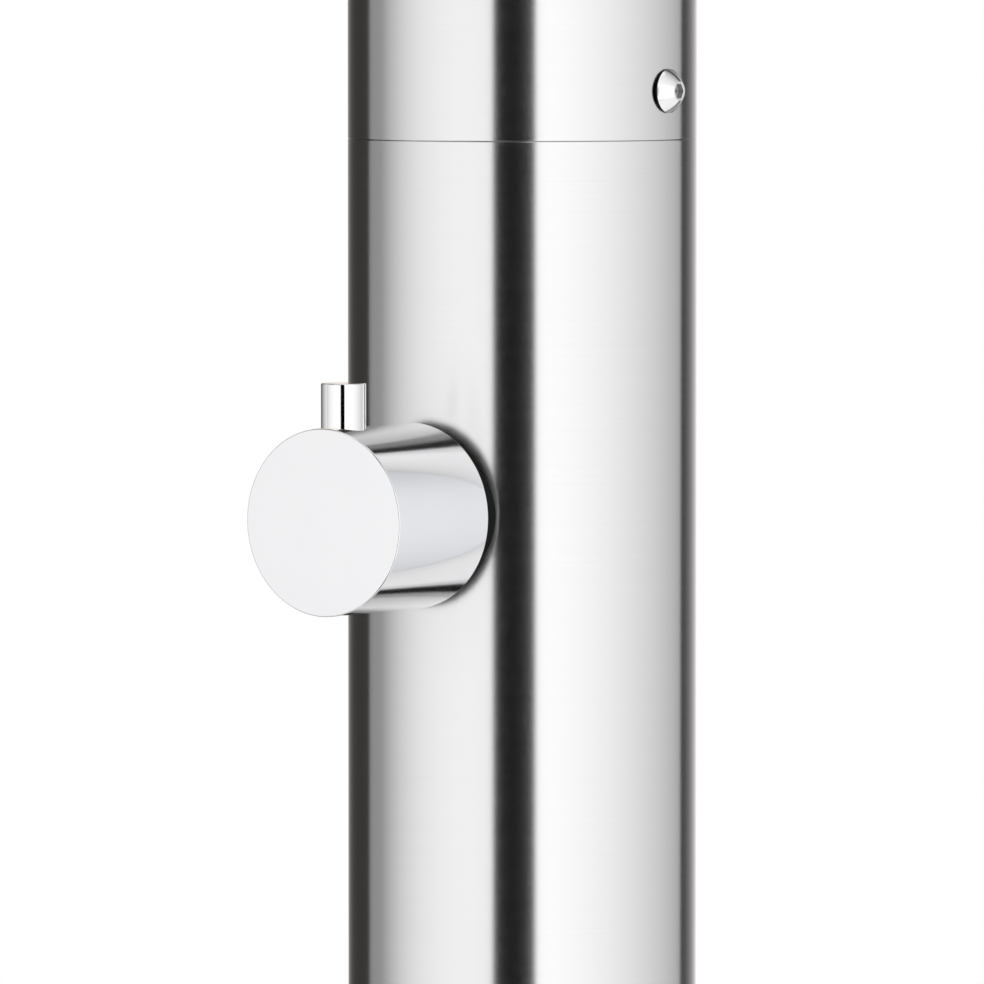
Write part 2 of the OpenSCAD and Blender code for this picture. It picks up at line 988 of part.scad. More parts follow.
module cartridge_nut() {
    color(brass)
        at_knob()
            difference() {
                union() {
                    ring(cartridge_nut_r, tower_r + thread_slip, seat_front, neck_end + nut_flange_t / 2);
                    ring(nut_flange_r, tower_r + thread_slip, neck_end, neck_end + nut_flange_t);
                }
                for (i = [0:nut_slots - 1])
                    rotate([0, 0, 360 * i / nut_slots])
                        translate([cartridge_nut_r - cut, -nut_slot / 2, neck_end - cut])
                            cube([nut_flange_r, nut_slot, nut_flange_t + 2 * cut]);
            }
}

// knob and its lever

module knob() {
    color(bright_steel)
        at_knob()
            difference() {
                rotate_extrude()
                    polygon([
                        [0, knob_front],
                        [knob_r - knob_chamfer, knob_front],
                        [knob_r, knob_front - knob_chamfer],
                        [knob_r, knob_back + knob_chamfer],
                        [knob_r - knob_chamfer, knob_back],
                        [knob_ri, knob_back],
                        [knob_ri, knob_floor],
                        [0, knob_floor]
                    ]);
                // the spindle's socket, with its flat
                difference() {
                    translate([0, 0, knob_floor - cut])
                        cylinder(r = spindle_r + run_slip, h = spindle_end - knob_floor + socket_gap + cut);
                    translate([-spindle_d, -spindle_d - spindle_r + spindle_flat - run_slip, knob_floor - 2 * cut])
                        cube([2 * spindle_d, spindle_d, spindle_end]);
                }
                // the lever pin's seat and thread
                translate([0, 0, lever_a])
                    rotate([-90, 0, 0]) {
                        translate([0, 0, lever_foot - thread_slip])
                            cylinder(r = lever_d / 2 + run_slip, h = knob_r);
                        translate([0, 0, lever_foot - lever_stud_len - lever_hole_gap])
                            cylinder(r = lever_stud_d / 2 + thread_slip, h = knob_r);
                    }
                // the set screw's hole, from below
                translate([0, 0, lever_a])
                    rotate([90, 0, 0])
                        cylinder(r = grub_d / 2 + thread_slip, h = knob_r + cut);
            }
}

module lever_pin() {
    color(bright_steel)
        at_knob()
            translate([0, 0, lever_a])
                rotate([-90, 0, 0]) {
                    rotate_extrude()
                        polygon([
                            [0, lever_foot - lever_stud_len],
                            [lever_stud_d / 2, lever_foot - lever_stud_len],
                            [lever_stud_d / 2, lever_foot],
                            [lever_d / 2, lever_foot],
                            [lever_d / 2, knob_r + lever_out - lever_chamfer],
                            [lever_d / 2 - lever_chamfer, knob_r + lever_out],
                            [0, knob_r + lever_out]
                        ]);
                }
}

module knob_grub() {
    color(steel)
        at_knob()
            translate([0, 0, lever_a])
                rotate([90, 0, 0])
                    translate([0, 0, grub_tip])
                        difference() {
                            cylinder(r = grub_d / 2, h = grub_len);
                            translate([0, 0, grub_len - grub_key_depth])
                                hex_bar(grub_key, grub_key_depth + cut);
                        }
}

// arm

// a round bar that follows the arm: straight out, round the bend and straight down
module arm_bar(r, from, drop) {
    run = arm_reach - arm_bend;
    translate([0, -from, arm_z])
        rotate([90, 0, 0])
            cylinder(r = r, h = run - from);
    translate([0, -run, arm_z - arm_bend])
        rotate([90, 0, -90])
            rotate_extrude(angle = 90)
                translate([arm_bend, 0])
                    circle(r = r);
    translate([0, -arm_reach, arm_z - arm_bend - drop])
        cylinder(r = r, h = drop);
}

module shower_arm() {
    color(steel)
        difference() {
            arm_bar(arm_r, arm_foot, arm_drop);
            arm_bar(arm_ri, arm_foot - cut, arm_drop + cut);
        }
}

module arm_collar() {
    front = post_r + collar_len;
    color(bright_steel)
        difference() {
            at_arm()
                rotate_extrude()
                    polygon([
                        [arm_r + run_slip, post_ri / 2],
                        [collar_d / 2, post_ri / 2],
                        [collar_d / 2, front - collar_chamfer],
                        [collar_d / 2 - collar_chamfer, front],
                        [arm_r + run_slip, front]
                    ]);
            translate([0, 0, arm_z - collar_d])
                cylinder(r = post_r + run_slip, h = 2 * collar_d);
        }
}

module arm_saddle() {
    color(rubber)
        intersection() {
            at_arm()
                ring(arm_saddle_r, arm_r + screw_slip, arm_flat, post_ri);
            translate([0, 0, arm_z - collar_d])
                cylinder(r = post_ri - run_slip, h = 2 * collar_d);
        }
}

module arm_locknut() {
    color(brass)
        at_arm()
            translate([0, 0, arm_flat - arm_nut_t])
                difference() {
                    hex_bar(arm_nut_af, arm_nut_t);
                    bore(arm_r + thread_slip, 0, arm_nut_t);
                }
}

module arm_elbow() {
    stub_r = arm_ri - run_slip;
    color(brass)
        difference() {
            union() {
                at_arm() {
                    translate([0, 0, -elbow_r])
                        cylinder(r = elbow_r, h = elbow_r + arm_foot - thread_slip);
                    translate([0, 0, arm_foot - cut])
                        cylinder(r = stub_r, h = elbow_stub + cut);
                }
                translate([0, 0, arm_z - elbow_drop])
                    cylinder(r = boss_r, h = elbow_drop);
                translate([0, 0, elbow_port])
                    cylinder(r = thread_r, h = thread_len + elbow_drop / 2);
            }
            at_arm()
                cylinder(r = elbow_bore_r, h = arm_foot + elbow_stub + cut);
            translate([0, 0, elbow_port - cut])
                cylinder(r = elbow_bore_r, h = arm_z - elbow_port + cut);
        }
}

module arm_nipple() {
    color(brass)
        translate([0, -arm_reach, arm_end])
            union() {
                ring(arm_nipple_r, thread_ri, 0, arm_nipple_in);
                ring(thread_r, thread_ri, -arm_nipple_out, arm_nipple_in / 2);
            }
}

// ball joint

module ball_stem() {
    top = arm_end - ball_z;
    shelf = top - stem_len;
    color(bright_steel)
        at_ball()
            difference() {
                union() {
                    sphere(r = ball_r);
                    cylinder(r = stem_neck_r, h = shelf + stem_roof);
                    rotate_extrude()
                        polygon([
                            [0, shelf],
                            [stem_r - stem_chamfer, shelf],
                            [stem_r, shelf + stem_chamfer],
                            [stem_r, top - thread_slip],
                            [0, top - thread_slip]
                        ]);
                }
                translate([0, 0, top - arm_nipple_out - stem_roof])
                    cylinder(r = thread_r + thread_slip, h = stem_len);
                bore(ball_bore_r, -ball_r, shelf + stem_roof + stem_len);
            }
}

module seat_ring() {
    color(plastic)
        at_ball()
            intersection() {
                difference() {
                    sphere(r = ball_r + seat_t + run_slip);
                    sphere(r = ball_r + run_slip);
                }
                translate([0, 0, seat_foot])
                    cylinder(r = cup_r + cut, h = seat_top - seat_foot);
            }
}

module head_neck() {
    color(bright_steel)
        at_ball()
            difference() {
                union() {
                    translate([0, 0, neck_foot])
                        cylinder(r = neck_thread_r, h = neck_top - neck_foot);
                    translate([0, 0, neck_foot])
                        cylinder(r = neck_flange_r, h = neck_flange_t);
                }
                sphere(r = cup_r);
                translate([0, 0, neck_foot - cut])
                    cylinder(r = neck_bore_r, h = regulator_foot - neck_foot + 2 * cut);
                translate([0, 0, regulator_foot])
                    cylinder(r = regulator_r + run_slip, h = seat_foot - regulator_foot);
            }
}

module ball_nut() {
    nut_r = neck_thread_r + collar_nut_wall;
    color(bright_steel)
        at_ball()
            difference() {
                rotate_extrude()
                    polygon([
                        [neck_thread_r + thread_slip, collar_nut_foot],
                        [nut_r - collar_nut_chamfer, collar_nut_foot],
                        [nut_r, collar_nut_foot + collar_nut_chamfer],
                        [nut_r, collar_nut_top - collar_nut_chamfer],
                        [nut_r - collar_nut_chamfer, collar_nut_top],
                        [0, collar_nut_top],
                        [0, neck_top + thread_slip],
                        [neck_thread_r + thread_slip, neck_top + thread_slip]
                    ]);
                sphere(r = ball_r + lip_gap);
                for (i = [0:collar_grips - 1])
                    rotate([0, 0, 360 * i / collar_grips])
                        translate([nut_r + collar_grip_r / 2, 0, 0])
                            bore(collar_grip_r, collar_nut_foot, collar_nut_top);
            }
}

module flow_regulator() {
    color(plastic)
        at_ball()
            difference() {
                translate([0, 0, regulator_foot])
                    cylinder(r = regulator_r, h = regulator_t);
                for (i = [0:regulator_holes - 1])
                    rotate([0, 0, 360 * i / regulator_holes])
                        translate([regulator_r * regulator_ring_share, 0, 0])
                            bore(regulator_hole_r, regulator_foot, regulator_foot + regulator_t);
            }
}

// rain head

module head_shell() {
    low = head_top - head_h;
    inside = head_r - head_sheet;
    roof = head_top - head_sheet;
    color(steel)
        translate([0, -arm_reach, 0])
            difference() {
                union() {
                    rotate_extrude()
                        polygon([
                            [neck_bore_r, head_top],
                            [head_r - head_chamfer, head_top],
                            [head_r, head_top - head_chamfer],
                            [head_r, low + head_chamfer / 2],
                            [head_r - head_chamfer / 2, low],
                            [inside, low],
                            [inside, ledge_z],
                            [inside - ledge_w, ledge_z],
                            [inside - ledge_w, roof],
                            [neck_bore_r, roof]
                        ]);
                    each_spray_screw()
                        translate([0, 0, spray_z + spray_t])
                            cylinder(r = spray_boss_r, h = head_top - spray_boss_roof - spray_z - spray_t);
                }
                each_spray_screw()
                    translate([0, 0, spray_z])
                        cylinder(r = spray_screw_r + thread_slip, h = spray_screw_len + slip);
            }
}

module rim_gasket() {
    color(rubber)
        translate([0, -arm_reach, 0])
            ring(spray_r, spray_r - gasket_w, spray_z + spray_t, spray_z + spray_t + mat_t);
}

module nozzle_mat() {
    under = spray_z - nozzle_out;
    color(silicone)
        translate([0, -arm_reach, 0])
            difference() {
                union() {
                    translate([0, 0, spray_z + spray_t])
                        cylinder(r = mat_r, h = mat_t);
                    each_nozzle() {
                        translate([0, 0, spray_z])
                            cylinder(r = nozzle_r, h = spray_t + mat_t / 2, $fn = nozzle_fn);
                        translate([0, 0, under])
                            cylinder(r1 = nozzle_r * nozzle_tip_share, r2 = nozzle_r, h = nozzle_out,
                                $fn = nozzle_fn);
                    }
                }
                each_nozzle()
                    translate([0, 0, under - cut])
                        cylinder(r = nozzle_jet_r, h = nozzle_out + spray_t + mat_t + 2 * cut, $fn = jet_fn);
                each_spray_screw()
                    bore(spray_boss_r + slip, spray_z + spray_t, ledge_z);
            }
}

module spray_plate() {
    color(steel)
        translate([0, -arm_reach, 0])
            difference() {
                translate([0, 0, spray_z])
                    cylinder(r = spray_r, h = spray_t);
                each_nozzle()
                    translate([0, 0, spray_z - cut])
                        cylinder(r = nozzle_r + run_slip, h = spray_t + 2 * cut, $fn = nozzle_fn);
                each_spray_screw() {
                    bore(spray_screw_r + screw_slip, spray_z, spray_z + spray_t);
                    spray_screw_cone(thread_slip, cut);
                }
            }
}

// the cone of a countersunk head, made larger by a clearance and run past its face
module spray_screw_cone(clear, past) {
    slope = (spray_head_r - spray_screw_r) / spray_head_h;
    translate([0, 0, spray_z - past])
        cylinder(r1 = spray_head_r + clear + slope * past, r2 = spray_screw_r + clear, h = spray_head_h + past);
}

module spray_screws() {
    color(bright_steel)
        translate([0, -arm_reach, 0])
            each_spray_screw()
                difference() {
                    union() {
                        spray_screw_cone(0, 0);
                        translate([0, 0, spray_z + spray_key_depth])
                            cylinder(r = spray_screw_r, h = spray_screw_len - spray_key_depth);
                    }
                    translate([0, 0, spray_z - cut])
                        hex_bar(spray_key, spray_key_depth + cut);
                }
}

base_plate();
base_weld();
lower_tube();
upper_tube();
joint_sleeve();
sleeve_nuts();
joint_screws();
top_cap();
cap_seal();
support_ring();
inlet_plate();
inlet_nipples();
inlet_locknuts();
check_valves();
cold_hose();
hot_hose();
riser_hose();
hose_inserts();
hose_ferrules();
union_nuts();
hose_washers();
mixer_body();
inner_saddle();
outer_saddle();
ring_nut();
base_seal();
fixed_disc();
moving_disc();
cartridge_body();
spindle();
stem_seal();
cartridge_nut();
knob();
lever_pin();
knob_grub();
shower_arm();
arm_collar();
arm_saddle();
arm_locknut();
arm_elbow();
arm_nipple();
ball_stem();
seat_ring();
ball_nut();
head_neck();
flow_regulator();
head_shell();
rim_gasket();
nozzle_mat();
spray_plate();
spray_screws();
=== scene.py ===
import math
import bpy
import numpy as np
from mathutils import Matrix, Vector


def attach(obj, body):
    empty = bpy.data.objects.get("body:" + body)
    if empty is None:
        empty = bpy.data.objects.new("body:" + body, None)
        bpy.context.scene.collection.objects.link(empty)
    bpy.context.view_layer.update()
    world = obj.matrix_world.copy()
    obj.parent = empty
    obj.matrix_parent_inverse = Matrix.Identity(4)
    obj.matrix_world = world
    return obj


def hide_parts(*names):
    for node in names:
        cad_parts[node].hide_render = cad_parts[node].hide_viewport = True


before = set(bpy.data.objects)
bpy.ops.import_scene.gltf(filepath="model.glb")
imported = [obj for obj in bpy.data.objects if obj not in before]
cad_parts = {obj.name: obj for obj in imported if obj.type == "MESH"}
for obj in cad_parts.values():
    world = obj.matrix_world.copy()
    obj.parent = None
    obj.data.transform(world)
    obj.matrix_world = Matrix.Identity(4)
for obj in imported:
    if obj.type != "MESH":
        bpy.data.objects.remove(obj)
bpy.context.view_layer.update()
print("frame loaded:", len(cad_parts), "nodes")

mm = 0.001  # shapes are worked out in millimetres and made in metres
mergeStep = 0.0002  # millimetres: points closer than this become one
mergeShift = 0.382  # of that step, so that round sizes don't fall on the line between two

view = {
    "azimuth": 34.605,  # degrees round the post from its front
    "distance": 2.0,  # metres from the post's axis
    "height": 1.1867,
    "down": 3.266,  # degrees below the level
    "yaw": 0.1895,  # degrees off the post's axis
    "lens": 335.45,  # millimetres, on a 36 mm sensor
}


def putInScene(name, data):
    thing = bpy.data.objects.new(name, data)
    bpy.context.scene.collection.objects.link(thing)
    return thing


def hideFrom(thing, *rays):
    for kind in rays:
        setattr(thing, "visible_" + kind, False)


def roundPost(degrees, away, height=0.0):
    # a spot in metres, by degrees from the camera's side and distance from the post's axis
    turn = math.radians(view["azimuth"] + degrees)
    spot = Vector((math.sin(turn), -math.cos(turn), 0)) * away
    return Vector((spot.x, spot.y, height))


def placeCamera():
    turn = math.radians(view["azimuth"] + view["yaw"])
    down = math.radians(view["down"])
    right = Vector((math.cos(turn), math.sin(turn), 0))
    ahead = Vector((-math.sin(turn) * math.cos(down), math.cos(turn) * math.cos(down), -math.sin(down)))
    up = right.cross(ahead)
    lens = bpy.data.cameras.new("camera")
    lens.sensor_fit = "HORIZONTAL"
    lens.sensor_width = 36
    lens.lens = view["lens"]
    lens.clip_start = 0.05
    lens.clip_end = 200
    camera = putInScene("camera", lens)
    stand = Matrix.Translation(roundPost(0, view["distance"], view["height"]))
    camera.matrix_world = stand @ Matrix((right, up, -ahead)).transposed().to_4x4()
    bpy.context.scene.camera = camera


placeCamera()
bpy.context.scene.view_settings.view_transform = "Standard"
print("camera placed")


def mathNode(operation, swapped=False):
    def method(self, other):
        return self.recipe.calc(operation, *((other, self) if swapped else (self, other)))
    return method


class Signal:
    # One output of a node. Sums and products of it add Math nodes.
    def __init__(self, recipe, socket):
        self.recipe = recipe
        self.socket = socket

    def pick(self, name):
        return Signal(self.recipe, self.socket.node.outputs[name])

    __add__, __radd__ = mathNode("ADD"), mathNode("ADD", True)
    __sub__, __rsub__ = mathNode("SUBTRACT"), mathNode("SUBTRACT", True)
    __mul__, __rmul__ = mathNode("MULTIPLY"), mathNode("MULTIPLY", True)
    __truediv__, __pow__ = mathNode("DIVIDE"), mathNode("POWER")


class Recipe:
    # The node tree of one material, or of the world.
    def __init__(self, owner):
        owner.use_nodes = True
        self.owner = owner
        self.tree = owner.node_tree
        self.tree.nodes.clear()

    def node(self, kind, settings=None, inputs=None, output=0):
        made = self.tree.nodes.new(kind)
        for key, value in (settings or {}).items():
            if key == "stops":
                ramp = made.color_ramp.elements
                while len(ramp) < len(value):
                    ramp.new(0.5)
                for stop, (place, level) in zip(ramp, value):
                    stop.position = place
                    stop.color = (level, level, level, 1)
            else:
                setattr(made, key, value)
        for key, value in (inputs or {}).items():
            if isinstance(value, Signal):
                self.tree.links.new(value.socket, made.inputs[key])
            else:
                made.inputs[key].default_value = value
        return Signal(self, made.outputs[output]) if len(made.outputs) else made

    def calc(self, operation, *values):
        return self.node("ShaderNodeMath", {"operation": operation}, dict(enumerate(values)))

    def place(self, scale=(1, 1, 1), centre=(0, 0, 0)):
        # the piece's own coordinates in metres, moved to a centre and then stretched
        own = self.node("ShaderNodeTexCoord", output="Object")
        moved = self.node("ShaderNodeVectorMath", {"operation": "SUBTRACT"}, {0: own, 1: centre})
        return self.node("ShaderNodeVectorMath", {"operation": "MULTIPLY"}, {0: moved, 1: scale})

    def noise(self, vector, scale=1.0, detail=2.0, roughness=0.5):
        return self.node("ShaderNodeTexNoise", {}, {
            "Vector": vector, "Scale": scale, "Detail": detail, "Roughness": roughness})

    def split(self, vector):
        x = self.node("ShaderNodeSeparateXYZ", {}, {0: vector}, output="X")
        return x, x.pick("Y"), x.pick("Z")

    def ramp(self, value, *stops):
        return self.node("ShaderNodeValToRGB", {"stops": stops}, {0: value})

    def blend(self, share, first, second):
        return self.node("ShaderNodeMix", {"data_type": "RGBA"}, {
            0: share, 6: (*first, 1) if isinstance(first, tuple) else first,
            7: (*second, 1) if isinstance(second, tuple) else second}, output=2)

    def bump(self, height, strength, depth):
        return self.node("ShaderNodeBump", {}, {"Height": height, "Strength": strength, "Distance": depth})

    def finish(self, inputs):
        shader = self.node("ShaderNodeBsdfPrincipled", {}, inputs)
        self.node("ShaderNodeOutputMaterial", {}, {"Surface": shader})
        return self.owner


satinLook = {
    "dark": (0.82, 0.82, 0.82),
    "light": (0.868, 0.868, 0.868),
    "roughness": 0.206,
    "stretch": 0.864,  # how much longer the blur is across the grain
    "grain": 2600.0,  # lines in a metre
    "along": 14.0,  # and how slowly they change along their length
    "round": 1.5,  # the same for turned rings, in each radian
    "depth": 0.000006,
}


def satinSteel(name, vector, stretch=satinLook["stretch"]):
    # Brushed with an abrasive belt: fine broken lines over a faint haze. vector says how the lines run.
    recipe = Recipe(bpy.data.materials.new(name))
    lines = vector(recipe)
    grain = recipe.noise(lines, 1.0, 3.0, 0.6)
    coarse = recipe.noise(lines, 0.23, 2.0, 0.5)
    haze = recipe.noise(recipe.place(), 9.0, 3.0, 0.55)
    scratch = recipe.ramp(coarse, (0.60, 0.0), (0.74, 1.0))
    tone = grain * 0.7 + coarse * 0.3 - scratch * 0.25
    height = grain + scratch * 0.4
    return recipe.finish({
        "Base Color": recipe.blend(tone, satinLook["dark"], satinLook["light"]),
        "Metallic": 1.0,
        "Roughness": satinLook["roughness"] - 0.03 + (grain * 0.05 + haze * 0.02),
        "Anisotropic": stretch,
        "Anisotropic Rotation": 0.25,
        "Normal": recipe.bump(height, 0.35, satinLook["depth"]),
    })


def roundGrain(recipe):
    # lines that run round an upright piece
    return recipe.place((satinLook["along"], satinLook["along"], satinLook["grain"]))


def turnedGrain(centre):
    # rings round an upright axis, as a lathe leaves them
    def vector(recipe):
        x, y, z = recipe.split(recipe.place(centre=centre))
        return recipe.node("ShaderNodeCombineXYZ", {}, {
            "X": (x * x + y * y) ** 0.5 * satinLook["grain"],
            "Y": recipe.calc("ARCTAN2", y, x) * satinLook["round"],
            "Z": z * satinLook["grain"]})
    return vector


def pathGrain(recipe):
    # lines that run round a bent tube, from its own unwrapping
    flat = recipe.node("ShaderNodeUVMap", {"uv_map": "run"})
    return recipe.node("ShaderNodeVectorMath", {"operation": "MULTIPLY"}, {
        0: flat, 1: (satinLook["along"], satinLook["grain"], 1.0)})


polishLook = {
    "colour": (0.955, 0.95, 0.965),
    "dull": (0.91, 0.905, 0.925),
    "roughness": 0.055,
    "swirl": 420.0,
    "depth": 0.0000015,
}


def polishedSteel(name, roughness=polishLook["roughness"]):
    # Buffed bright: hairline swirls, a little wear haze and faint waviness.
    recipe = Recipe(bpy.data.materials.new(name))
    own = recipe.place()
    wave = recipe.noise(own, 60.0, 2.0, 0.5)
    hair = polishLook["swirl"]
    swirl = recipe.noise(recipe.place((hair, hair * 0.25, hair * 2)), 1.0, 3.0, 0.6)
    wear = recipe.ramp(recipe.noise(own, 35.0, 4.0, 0.65), (0.45, 0.0), (0.75, 1.0))
    return recipe.finish({
        "Base Color": recipe.blend(wear * 0.5, polishLook["colour"], polishLook["dull"]),
        "Metallic": 1.0,
        "Roughness": roughness + swirl * 0.02 + wear * 0.025,
        "Normal": recipe.bump(wave + swirl * 0.06, 0.25, polishLook["depth"]),
    })


def machinedMetal(name, dark, light, roughness, lines=1400.0, depth=0.000008):
    # Turned or stamped small parts: tool lines and stains in patches. Its near-black copies are painted
    # shade in hollows and under heads.
    recipe = Recipe(bpy.data.materials.new(name))
    own = recipe.place()
    tool = recipe.noise(recipe.place((lines * 0.02, lines * 0.02, lines)), 1.0, 2.0, 0.5)
    patch = recipe.noise(own, 120.0, 4.0, 0.6)
    stain = recipe.ramp(patch, (0.40, 0.0), (0.70, 1.0))
    return recipe.finish({
        "Base Color": recipe.blend(stain * 0.6 + tool * 0.4, light, dark),
        "Metallic": 1.0,
        "Roughness": roughness + stain * 0.12 + tool * 0.06,
        "Normal": recipe.bump(tool + patch * 0.5, 0.4, depth),
    })


def mouldedPart(name, dark, light, roughness, grain=900.0, depth=0.00002, sheen=0.0, gloss=0.5):
    # Moulded rubber, plastic or fired ceramic: a fine skin, slight mottling and rubbed spots.
    recipe = Recipe(bpy.data.materials.new(name))
    own = recipe.place()
    skin = recipe.noise(own, grain, 3.0, 0.6)
    mottle = recipe.noise(own, grain * 0.06, 3.0, 0.5)
    rubbed = recipe.ramp(recipe.noise(own, grain * 0.12, 2.0, 0.5), (0.50, 0.0), (0.72, 1.0))
    return recipe.finish({
        "Base Color": recipe.blend(mottle * 0.7 + rubbed * 0.3, dark, light),
        "Roughness": roughness + (skin - 0.5) * 0.1 - rubbed * 0.06,
        "Sheen Weight": sheen,
        "Specular IOR Level": gloss,
        "Normal": recipe.bump(skin, 0.3, depth),
    })


braid = {
    "strands": 12.0,
    "pitch": 0.0032,  # metres up the hose for one pair of strands
    "depth": 0.0002,
}


def braidedHose(name, axis):
    # Woven steel wire round a hose: two sets of strands wind opposite ways and pass over each other in turn.
    recipe = Recipe(bpy.data.materials.new(name))
    own = recipe.place(centre=(axis * mm, 0, 0))
    x, y, z = recipe.split(own)
    angle = recipe.calc("ARCTAN2", y, x)
    climb = z * (2 * math.pi / braid["pitch"])
    leftWind = recipe.calc("SINE", angle * braid["strands"] + climb)
    rightWind = recipe.calc("SINE", angle * braid["strands"] - climb)
    weave = recipe.calc("SINE", climb * 0.5) * recipe.calc("SINE", angle * (braid["strands"] / 2))
    over = recipe.calc("GREATER_THAN", weave, 0.0)
    strand = recipe.calc("ABSOLUTE", leftWind) * over + recipe.calc("ABSOLUTE", rightWind) * (1 - over)
    wire = recipe.noise(own, 1500.0, 2.0, 0.5)
    return recipe.finish({
        # painted shade: the base colour darkens between the strands and at their edges, in the grooves of
        # the weave
        "Base Color": recipe.blend(strand, (0.30, 0.30, 0.31), (0.78, 0.78, 0.80)),
        "Metallic": 1.0,
        "Roughness": 0.24 + wire * 0.12 + (1 - strand) * 0.15,
        "Normal": recipe.bump(strand + wire * 0.1, 0.7, braid["depth"]),
    })


headAxis = (0.0, -0.4, 0.0)  # metres
finishes = {
    "tube": satinSteel("satin_steel_round", roundGrain),
    "turned": satinSteel("satin_steel_turned", turnedGrain((0.0, 0.0, 0.0)), 0.55),
    "turnedHead": satinSteel("satin_steel_head", turnedGrain(headAxis), 0.55),
    "arm": satinSteel("satin_steel_arm", pathGrain, 0.0),
    "polished": polishedSteel("polished_steel"),
    "button": polishedSteel("button_steel", 0.14),
    "plain": machinedMetal("plain_steel", (0.48, 0.48, 0.49), (0.72, 0.72, 0.73), 0.28),
    # painted shade: near-black steel for the screws' rims and undersides, in place of the shade where the
    # heads sit on the post
    "shaded": machinedMetal("painted_shade_steel", (0.008, 0.008, 0.008), (0.03, 0.03, 0.031), 0.45, 900.0),
    "socket": machinedMetal("socket_steel", (0.46, 0.46, 0.465), (0.72, 0.72, 0.73), 0.42, 900.0),
    # painted shade: dark steel for the knob's back face and inside, in place of the shade in its hollow
    "hollow": machinedMetal("painted_shade_hollow_steel", (0.09, 0.09, 0.094), (0.20, 0.20, 0.21), 0.45, 900.0),
    "weld": machinedMetal("weld_steel", (0.55, 0.53, 0.50), (0.80, 0.79, 0.77), 0.24, 700.0, 0.00001),
    "brass": machinedMetal("machined_brass", (0.48, 0.33, 0.12), (0.80, 0.60, 0.28), 0.24),
    "rubber": mouldedPart("black_rubber", (0.006, 0.006, 0.006), (0.020, 0.020, 0.021), 0.75, gloss=0.1),
    "plastic": mouldedPart("white_plastic", (0.66, 0.66, 0.63), (0.78, 0.78, 0.75), 0.42, 600.0, 0.00001),
    "ceramic": mouldedPart("fired_ceramic", (0.82, 0.81, 0.77), (0.90, 0.89, 0.86), 0.20, 1200.0, 0.000004),
    "silicone": mouldedPart("grey_silicone", (0.095, 0.10, 0.11), (0.16, 0.165, 0.175), 0.48, 800.0, 0.00001,
                            sheen=0.05),
}
slotFinish = {
    "brushed_steel": "tube", "polished_steel": "polished", "plain_steel": "plain", "brass": "brass",
    "black_rubber": "rubber", "white_plastic": "plastic", "ceramic": "ceramic", "silicone": "silicone",
}
hoseAxes = {"cold_hose": 16.0, "hot_hose": -16.0, "riser_hose": 0.0}  # millimetres to the side


def dressNodes():
    # every CAD node gets its slot's finish, also where a made piece replaces it later
    for name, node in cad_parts.items():
        slotName = node.material_slots[0].material.name.split(".")[0]
        if name in hoseAxes:
            finish = braidedHose("wire_braid_" + name, hoseAxes[name])
        elif name == "spray_plate":
            finish = finishes["turnedHead"]
        else:
            finish = finishes[slotFinish[slotName]]
        for held in node.material_slots:
            held.material = finish


dressNodes()
print("materials:", len(bpy.data.materials))


def polar(radius, turn, height):
    # points by their distance from the upright axis, angle and height
    return np.stack(np.broadcast_arrays(radius * np.cos(turn), radius * np.sin(turn), height), -1)


def gridQuads(index):
    # the four corners of each cell of a grid of point numbers
    return np.stack([index[:-1, :-1], index[:-1, 1:], index[1:, 1:], index[1:, :-1]], -1)


